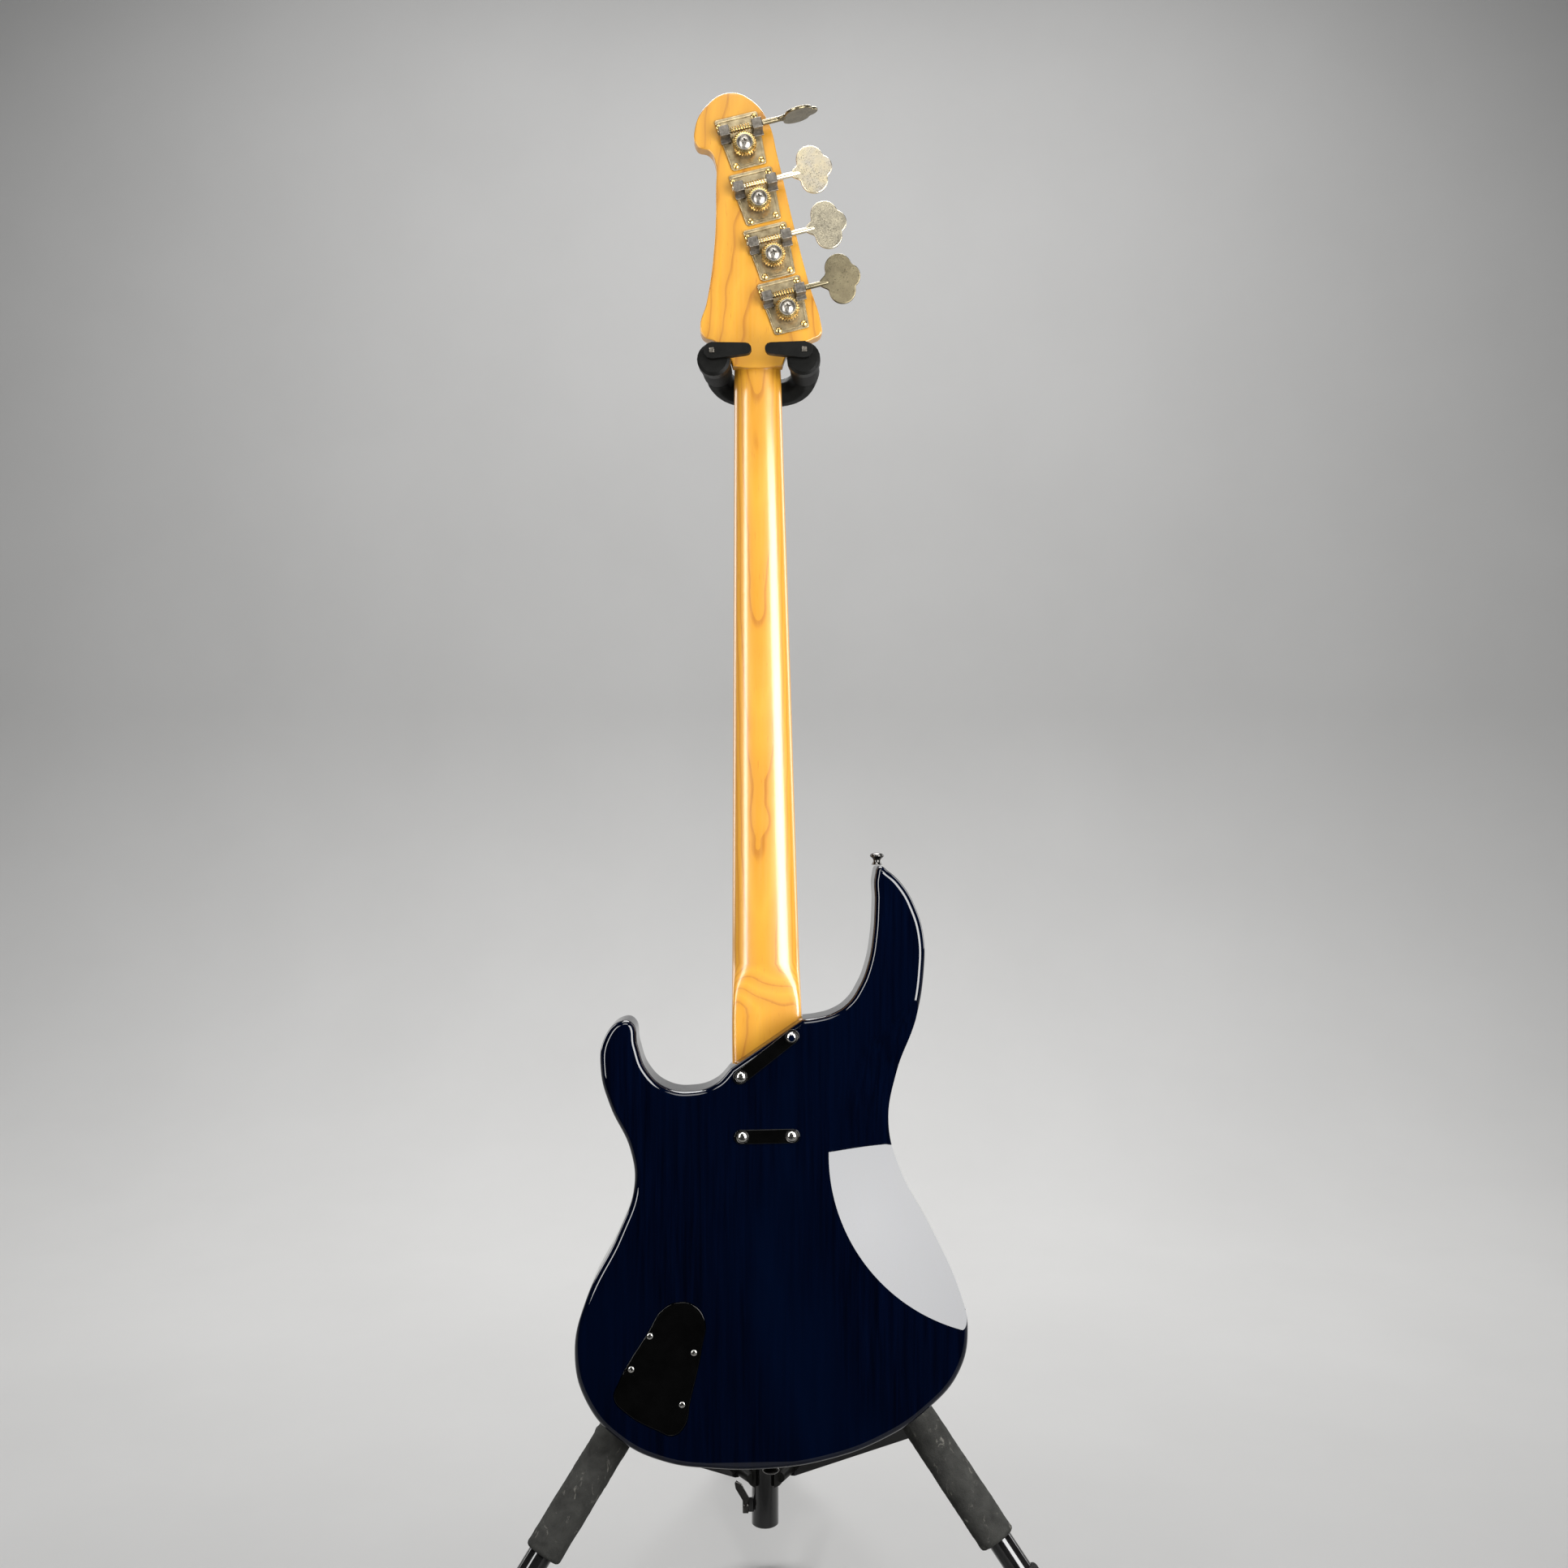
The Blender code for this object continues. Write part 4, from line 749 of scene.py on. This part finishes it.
def make_tuners():
    """Open tuners: base plate and bearings, worm with its clover key, toothed wheel with a slotted cap."""
    back = HEADSTOCK_BACK
    outline = [(-20.8, 29.1), (18.7, 29.1), (15.6, -18.7), (-15.6, -18.7)]
    soft = []
    for i, (x, z) in enumerate(outline):
        for other in (outline[i - 1], outline[(i + 1) % 4]):
            length = math.hypot(other[0] - x, other[1] - z)
            soft.append((x + (other[0] - x) * 1.6 / length, z + (other[1] - z) * 1.6 / length))
    base = plate("base", soft, (back - 0.0015, back), 0.00045, straight=True, rounds=2)
    lip = plate("lip", grown(soft, 0.90), (back - 0.0021, back - 0.0010), 0.0003, straight=True, rounds=1)
    inner = plate("inner", grown(soft, 0.86), (back - 0.003, back - 0.0015), straight=True)
    bore = rods("bore", [((0, 0, 0), (0, 0.06, 0))], 0.0055)
    base = cut(joined(base, cut(lip, inner)), bore)
    bearings = []
    for x in (-0.0149, 0.0149):
        low = (x - 0.0046, 0.0181, WORM_HEIGHT - 0.0046)
        high = (x + 0.0046, back - 0.0012, WORM_HEIGHT + 0.0046)
        bearings.append(block("bearing", low, high, 0.0009, 3))
        low = (x - 0.0046, back - 0.0034, WORM_HEIGHT - 0.0082)
        high = (x + 0.0046, back - 0.0014, WORM_HEIGHT - 0.0040)
        bearings.append(block("foot", low, high, 0.0006))
    head = bevelled(screw_head(0.0027, 0.0018, 0.2, False), 0.0001, 1, 40.0)
    screws = [(-18.0, 22.4), (14.6, 24.6), (11.6, -14.4), (-11.6, -15.0)]

    bm = bmesh.new()
    rings = []
    for step in range(121):
        x = -9.4 + 18.8 * step / 120
        ring = []
        for i in range(28):
            a = 2 * math.pi * i / 28
            crest = max(0.0, math.cos(a - 2 * math.pi * x / 2.35)) ** 0.6
            r = 2.15 + 1.05 * crest * min(1.0, (9.4 - abs(x)) / 0.8)
            ring.append(bm.verts.new((x * MM, r * MM * math.cos(a), r * MM * math.sin(a))))
        rings.append(ring)
    for a, b in zip(rings, rings[1:]):
        for i in range(28):
            j = (i + 1) % 28
            bm.faces.new((a[i], a[j], b[j], b[i]))
    bm.faces.new(rings[0])
    bm.faces.new(rings[-1])
    worm = from_bmesh("worm", bm)

    profile = [(0, 41.5), (1.3, 41.3), (1.9, 40.6), (2.2, 39), (2.4, 30), (2.4, 22), (2.45, 20.2), (2.45, 20),
               (2.2, 19.8), (2.2, 9.0), (2.2, -20.5), (1.6, -21.0), (0, -21.0)]
    shaft = turned("shaft", profile, 32)
    shaft.data.transform(Matrix.Rotation(math.radians(90), 4, "Y"))
    lobes = [(52.2, 9.6, 12.2), (59.5, 0.9, 10.7), (51.6, -9.6, 12.0), (45.0, 0.0, 9.0), (38.8, 0.0, 5.4),
             (35.4, 0.0, 3.2)]
    clover = []
    for i in range(90):
        a = 2 * math.pi * i / 90
        best = 0.0
        for x, z, r in lobes:
            along = (x - 54.0) * math.cos(a) + z * math.sin(a)
            off = (x - 54.0) * math.sin(a) - z * math.cos(a)
            if abs(off) < r:
                best = max(best, along + math.sqrt(r * r - off * off))
        clover.append((54.0 + best * math.cos(a), best * math.sin(a)))
    clover = [tuple(sum(clover[(i + k) % 90][c] for k in (-1, 0, 0, 1)) / 4 for c in (0, 1)) for i in range(90)]
    paddle = plate("paddle", clover, (-0.0013, 0.0013), 0.0009, steps=2, rounds=4)
    key = joined(shaft, paddle)

    bm = bmesh.new()
    teeth, rings = 26, []
    for level, (inner_r, outer_r, y) in enumerate(((6.9, 6.9, 19.1), (8.4, 9.3, 19.4), (9.2, 10.7, 20.6),
                                                   (9.2, 10.7, 24.6), (8.7, 9.6, 25.6))):
        ring = []
        for i in range(teeth * 4):
            a = 2 * math.pi * (i + level * 0.55) / (teeth * 4)
            r = outer_r if i % 4 in (0, 1) else inner_r
            ring.append(bm.verts.new((r * MM * math.cos(a), y * MM, r * MM * math.sin(a))))
        rings.append(ring)
    for a, b in zip(rings, rings[1:]):
        for i in range(len(a)):
            j = (i + 1) % len(a)
            bm.faces.new((a[i], a[j], b[j], b[i]))
    bm.faces.new(rings[0])
    bm.faces.new(rings[-1])
    wheel = from_bmesh("wheel", bm)
    cap = turned("cap", [(0, -16.2), (1.8, -16.25), (3.5, -16.65), (4.9, -17.3), (6.0, -18.2), (6.3, -18.7),
                         (6.5, -18.4), (7.1, -18.4), (7.3, -18.9), (7.3, -21), (0, -21)], 48)
    slots = [block("slot", (-0.0024, -0.0007, -0.0185), (0.0024, 0.0007, -0.012)),
             block("slot", (-0.0007, -0.0024, -0.0185), (0.0007, 0.0024, -0.012))]
    cap = bevelled(cut(cap, *slots), 0.00015, 2, 40.0)
    cap.data.transform(TO_BACK)
    post = turned("post", [(0, -24), (5, -24), (5, -49), (4.6, -49.8), (3.8, -50.8), (3.6, -52.2), (3.8, -53.8),
                           (4.6, -55.0), (5, -55.8), (5, -59.4), (4.5, -60), (0, -60)], 40)
    groove = block("slot", (-0.0006, -0.006, -0.0610), (0.0006, 0.006, -0.0560))
    post = cut(post, groove)
    post.data.transform(TO_BACK)
    washer = turned("bushing", [(5.4, -45.2), (9.0, -45.2), (9.0, -46.0), (8.4, -46.8), (5.4, -46.8)], 40, True)
    washer.data.transform(TO_BACK)

    for n, (spot, key_turn) in enumerate(zip(POSTS, (99, 0, 0, 12)), 1):
        carrier = BASS @ Matrix.Translation(at(spot)) @ Matrix.Rotation(math.radians(-13.5), 4, "Y")
        line = carrier @ Matrix.Translation((0, WORM_DEPTH, WORM_HEIGHT))
        line = line @ Matrix.Rotation(math.radians(key_turn), 4, "X")
        stand_in(copied(base, f"tuner_base_{n}"), f"tuner_plate_{n}", carrier)
        show(gathered(f"tuner_bearings_{n}", [copied(b, "b") for b in bearings]), "bass", "aged_nickel", WORN_STEEL,
             matrix=carrier)
        heads = [copied(head, "h", Matrix.Translation(at(p, back - 0.0014)) @ TO_BACK
                        @ Matrix.Rotation(math.radians(40 + 53 * i + 17 * n), 4, "Z")) for i, p in enumerate(screws)]
        show(gathered(f"tuner_screws_{n}", heads), "bass", "brass", matrix=carrier)
        show(copied(washer, f"tuner_bushing_{n}"), "bass", "aged_nickel", matrix=carrier)
        stand_in(copied(key, f"tuner_clover_{n}"), f"tuner_key_{n}", line, angle=30.0, paint=KEY_PAINTS[n - 1])
        show(copied(worm, f"tuner_worm_{n}"), f"key_{n}", "brass", matrix=line, flat=False, angle=60.0)
        show(copied(cap, f"tuner_cap_{n}"), f"gear_{n}", "aged_nickel", CAP_STEEL, matrix=carrier)
        show(copied(post, f"tuner_post_{n}"), f"gear_{n}", "aged_nickel", matrix=carrier)
        stand_in(copied(wheel, f"tuner_wheel_{n}"), f"tuner_gear_{n}", carrier, angle=20.0)
    for template in (base, *bearings, head, worm, key, cap, post, wheel, washer):
        bpy.data.objects.remove(template, do_unlink=True)


# --- Stand ---

LEG_APEX, LEG_SLOPE, PIVOT_REACH, FOOT_HEIGHT = 0.3614, 1.235, 0.0425, 0.013
LEG_LEAN = math.atan2(1.0, LEG_SLOPE)
HUB_Z = LEG_APEX - LEG_SLOPE * PIVOT_REACH
AZIMUTHS = {
    "front_left": math.radians(-56.24), "front_right": math.radians(63.76), "rear": math.radians(183.76),
}


def leg_frame(azimuth):
    """The leg's pivot on the hub, with the leg running down along -Z."""
    place = Vector((math.sin(azimuth) * PIVOT_REACH, -math.cos(azimuth) * PIVOT_REACH, HUB_Z))
    turn = Euler((0.0, -LEG_LEAN, azimuth - math.radians(90))).to_matrix().to_4x4()
    return STAND @ Matrix.Translation(place) @ turn


def along_leg(reach):
    """How far down the leg a distance from the pole's axis lies."""
    return (reach - PIVOT_REACH) / math.sin(LEG_LEAN)


def make_legs():
    end = along_leg((LEG_APEX - FOOT_HEIGHT) / LEG_SLOPE) / MM
    for side, azimuth in AZIMUTHS.items():
        place = leg_frame(azimuth)
        tube_part = turned("tube", [(0, -14), (9.6, -14), (10.6, -14.3), (11.1, -15.2), (11.1, -end + 3),
                                    (9.6, -end + 3), (9.6, -30), (0, -30)], 72)
        tongue = plate("tongue", stadium((0, 0), (0, -18), 8, 16), (-0.006, 0.006), 0.0008, straight=True, rounds=1)
        hole = rods("hole", [((0, -0.02, 0), (0, 0.02, 0))], 0.0033)
        leg = cut(joined(tube_part, tongue), hole)
        leg.name = f"leg_{side}_tube"
        stand_in(leg, f"leg_{side}", place)
        make_foot(side, place, end)


def make_foot(side, place, end):
    top = -end + 50
    ball = [(14.7 * math.cos(math.radians(a)), -end - 14.9 * math.sin(math.radians(a))) for a in range(0, 86, 6)]
    ribs = []
    for i in range(5):
        z = top - 9 - i * 6
        ribs += [(14.7, z + 1.2), (13.9, z + 0.5), (13.9, z - 0.5), (14.7, z - 1.2)]
    profile = [(0, -end + 2), (11.4, -end + 2), (11.4, top), (12.6, top), (13.4, top - 0.4), (14.2, top - 1.4),
               (14.7, top - 3.5)] + ribs + ball + [(0, -end - 14.9)]
    foot = turned(f"foot_{side}_ribbed", profile, 64)
    floor = block("floor", (-0.1, -0.1, -0.1), (0.1, 0.1, 0.0))
    floor.data.transform(Matrix.Translation((0, 0, -end * MM)) @ Matrix.Rotation(LEG_LEAN, 4, "Y")
                         @ Matrix.Translation((0, 0, -FOOT_HEIGHT)))
    stand_in(cut(foot, floor), f"foot_{side}", place, angle=45.0)


def make_foam(side):
    """A foam sleeve: soft rounded ends, a pitted and dented skin, shallow notches near its lower end."""
    first, last = along_leg(0.113) / MM, along_leg(0.2313) / MM
    around, bm, rings = 120, bmesh.new(), []
    profile = [(11.5, first + 1.2), (12.6, first + 0.4), (14.6, first + 0.4), (16.0, first + 1.4)]
    count = 150
    profile += [(16.65, first + 3 + (last - first - 6) * i / count) for i in range(count + 1)]
    profile += [(16.0, last - 1.4), (14.6, last - 0.4), (12.6, last - 0.4), (11.5, last - 1.2)]
    seed = 3.0 if side == "left" else 11.0
    for level, (r, down) in enumerate(profile):
        ring = []
        for i in range(around):
            a = 2 * math.pi * i / around
            p = Vector((math.cos(a) * 0.016, math.sin(a) * 0.016, down * MM))
            dent = noise.fractal(p * 60.0 + Vector((seed, 0, 0)), 1.0, 2.0, 3) * 0.35
            pit = noise.fractal(p * 420.0 + Vector((0, seed, 0)), 1.0, 2.0, 3) * 0.16
            near_end = math.exp(-((last - down) / 10.0) ** 2)
            tear = -1.6 * near_end * max(0.0, noise.noise(p * 170.0 + Vector((0, 0, seed))) - 0.12)
            shift = dent + pit + tear if r > 12 else 0.0
            rr = min(r + shift, 17.0)
            sag = -1.8 if r > 12 else 0.0
            ring.append(bm.verts.new(((rr * math.cos(a) + sag) * MM, rr * math.sin(a) * MM, -down * MM)))
        rings.append(ring)
    for a, b in zip(rings, rings[1:] + rings[:1]):
        for i in range(around):
            j = (i + 1) % around
            bm.faces.new((a[i], a[j], b[j], b[i]))
    foam = from_bmesh(f"foam_sleeve_{side}", bm)
    stand_in(foam, f"leg_foam_{side}", leg_frame(AZIMUTHS[f"front_{side}"]), angle=70.0, flat=False)


def make_pole():
    crisp("lower_tube", 0.0005)
    crisp("upper_tube", 0.0004)
    for node in ("brace_front_left", "brace_front_right", "brace_rear"):
        crisp(node, 0.0005)
    crisp("collar_lever", 0.0004, paint=PAINTS["dark_nickel"])
    crisp("brace_collar", 0.0008, 3)
    crisp("leg_hub", 0.0009, 3)
    crisp("height_clutch", 0.0012, 3)
    crisp("clutch_lever", 0.0009, 3)
    crisp("yoke_head", 0.0010, 3)
    moulded("yoke_frame", 0.0009, 10)
    for side in ("left", "right"):
        crisp(f"arm_sleeve_{side}", 0.0006)
        crisp(f"latch_{side}", 0.0009, 3)
        sign = -1 if side == "left" else 1
        rivet = block("rivet", (-0.0022, -0.00105, -0.0022), (0.0022, 0.0003, 0.0022), 0.0005)
        spot = Matrix.Translation((sign * 0.0393 + sign * 0.001, -0.1205, 1.1113 + 0.0057))
        show(rivet, f"latch_{side}", "black_plastic", WORN_STEEL, matrix=YOKE @ spot).name = f"latch_rivet_{side}"
    grip = []
    for i in range(5):
        z = 0.612 + i * 0.0055
        grip.append(turned("rib", [(20.05, z / MM - 1.3), (20.9, z / MM - 0.8), (20.9, z / MM + 0.8),
                                   (20.05, z / MM + 1.3), (19.6, z / MM)], 64, True))
    show(gathered("clutch_ribs", grip), "stand_base", "black_plastic", matrix=STAND)


def repaint_nodes():
    """Better materials on the CAD parts that stay."""
    for node, obj in frame["nodes"].items():
        smoothed(obj, 35.0)
        obj.data.materials.clear()
        obj.data.materials.append(PAINTS[SLOTS[node]].material)


# --- Studio ---


FLOOR_FRONT, FLOOR_HALF_WIDTH, CURVE_START, CURVE_RADIUS, WALL_TOP = -0.62, 5.0, 0.9, 0.9, 4.0
MIRROR_STRENGTH, CAMERA_SHARE, DIFFUSE_SHARE = 0.01, 0.7, 0.22
LENS, SENSOR = 36.075, 36.0
CAMERA_AT = (0.00855, -1.54636, 0.740)


def make_studio():
    """Floor and backdrop in one sweep, a world that mirror rays see darker, and the softboxes."""
    paint = Paint("studio_paper")
    pale = paint.ramp(paint.noise(3.0), (0.3, (0.70, 0.695, 0.685)), (0.7, (0.73, 0.725, 0.715)))
    paint.feed(
        Base_Color=pale,
        Roughness=paint.ramp(paint.noise(40.0), (0.3, 0.75), (0.7, 0.85)),
    )
    bm = bmesh.new()
    profile = [(FLOOR_FRONT, 0.0), (CURVE_START, 0.0)]
    for a in [math.radians(degrees) for degrees in range(5, 91, 5)]:
        profile.append((CURVE_START + CURVE_RADIUS * math.sin(a), CURVE_RADIUS - CURVE_RADIUS * math.cos(a)))
    profile.append((CURVE_START + CURVE_RADIUS, WALL_TOP))
    rows = [[bm.verts.new((x, y, z)) for x in (-FLOOR_HALF_WIDTH, FLOOR_HALF_WIDTH)] for y, z in profile]
    for a, b in zip(rows, rows[1:]):
        bm.faces.new((a[0], a[1], b[1], b[0]))
    floor = from_bmesh("studio_floor", bm)
    floor.data.shade_smooth()
    floor.data.materials.append(paint.material)

    unlit = bpy.data.collections.new("floor_kept_from_front_lights")
    unlit.objects.link(floor)
    unlit.collection_objects[0].light_linking.link_state = "EXCLUDE"
    world = bpy.data.worlds.new("studio_world")
    world.use_nodes = True
    nodes, links = world.node_tree.nodes, world.node_tree.links
    nodes["Background"].inputs["Color"].default_value = (0.78, 0.79, 0.80, 1.0)
    rays = nodes.new("ShaderNodeLightPath")
    strength = MIRROR_STRENGTH
    for ray, share in (("Is Camera Ray", CAMERA_SHARE), ("Is Diffuse Ray", DIFFUSE_SHARE)):
        weigh = nodes.new("ShaderNodeMath")
        weigh.operation = "MULTIPLY_ADD"
        links.new(rays.outputs[ray], weigh.inputs[0])
        weigh.inputs[1].default_value = share
        if isinstance(strength, float):
            weigh.inputs[2].default_value = strength
        else:
            links.new(strength, weigh.inputs[2])
        strength = weigh.outputs[0]
    links.new(strength, nodes["Background"].inputs["Strength"])
    bpy.context.scene.world = world
    bpy.context.scene.view_settings.view_transform = "Standard"

    for name, place, target, size, power, spread in (
        ("softbox_right", (0.72, -1.03, 0.785), (0.05, -0.2, 0.74), (0.58, 1.16), 26.0, 150),
        ("softbox_left", (-0.80, -1.03, 0.90), (0.0, -0.2, 0.85), (0.26, 1.30), 10.0, 150),
        ("softbox_top", (0.0, -1.5, 2.7), (0.0, -0.1, 0.8), (1.8, 1.0), 6.0, 70),
        ("softbox_rear", (0.0, 0.6, 3.4), (0.0, 0.9, 0.3), (2.6, 0.8), 36.0, 110),
        ("softbox_strings", (0.0, 1.25, 2.75), (0.0, -0.1, 0.7), (1.6, 0.7), 26.0, 120),
        ("softbox_side_left", (-1.5, 0.75, 1.2), (0.0, -0.05, 0.75), (0.6, 1.5), 9.0, 140),
        ("softbox_side_right", (1.5, 0.75, 1.2), (0.0, -0.05, 0.75), (0.6, 1.5), 9.0, 140),
    ):
        light = bpy.data.lights.new(name, "AREA")
        light.shape = "RECTANGLE"
        light.size, light.size_y = size
        light.energy = power
        light.spread = math.radians(spread)
        lamp = link(name, light)
        if name != "softbox_rear":
            lamp.light_linking.receiver_collection = unlit
        lamp.location = place
        lamp.rotation_euler = (Vector(target) - Vector(place)).to_track_quat("-Z", "Y").to_euler()


def make_camera():
    """The photo's view, fitted to the bass."""
    data = bpy.data.cameras.new("photo_camera")
    data.lens, data.sensor_width = LENS, SENSOR
    camera = link("photo_camera", data)
    camera.location = CAMERA_AT
    camera.rotation_euler = (math.radians(90), 0.0, 0.0)
    bpy.context.scene.camera = camera


make_camera()
repaint_nodes()
make_body()
make_neck()
make_fingerboard()
make_bolts()
make_cover()
make_strap_buttons()
make_electronics()
make_bridge()
make_tuners()
make_legs()
make_foam("left")
make_foam("right")
make_pole()
make_studio()
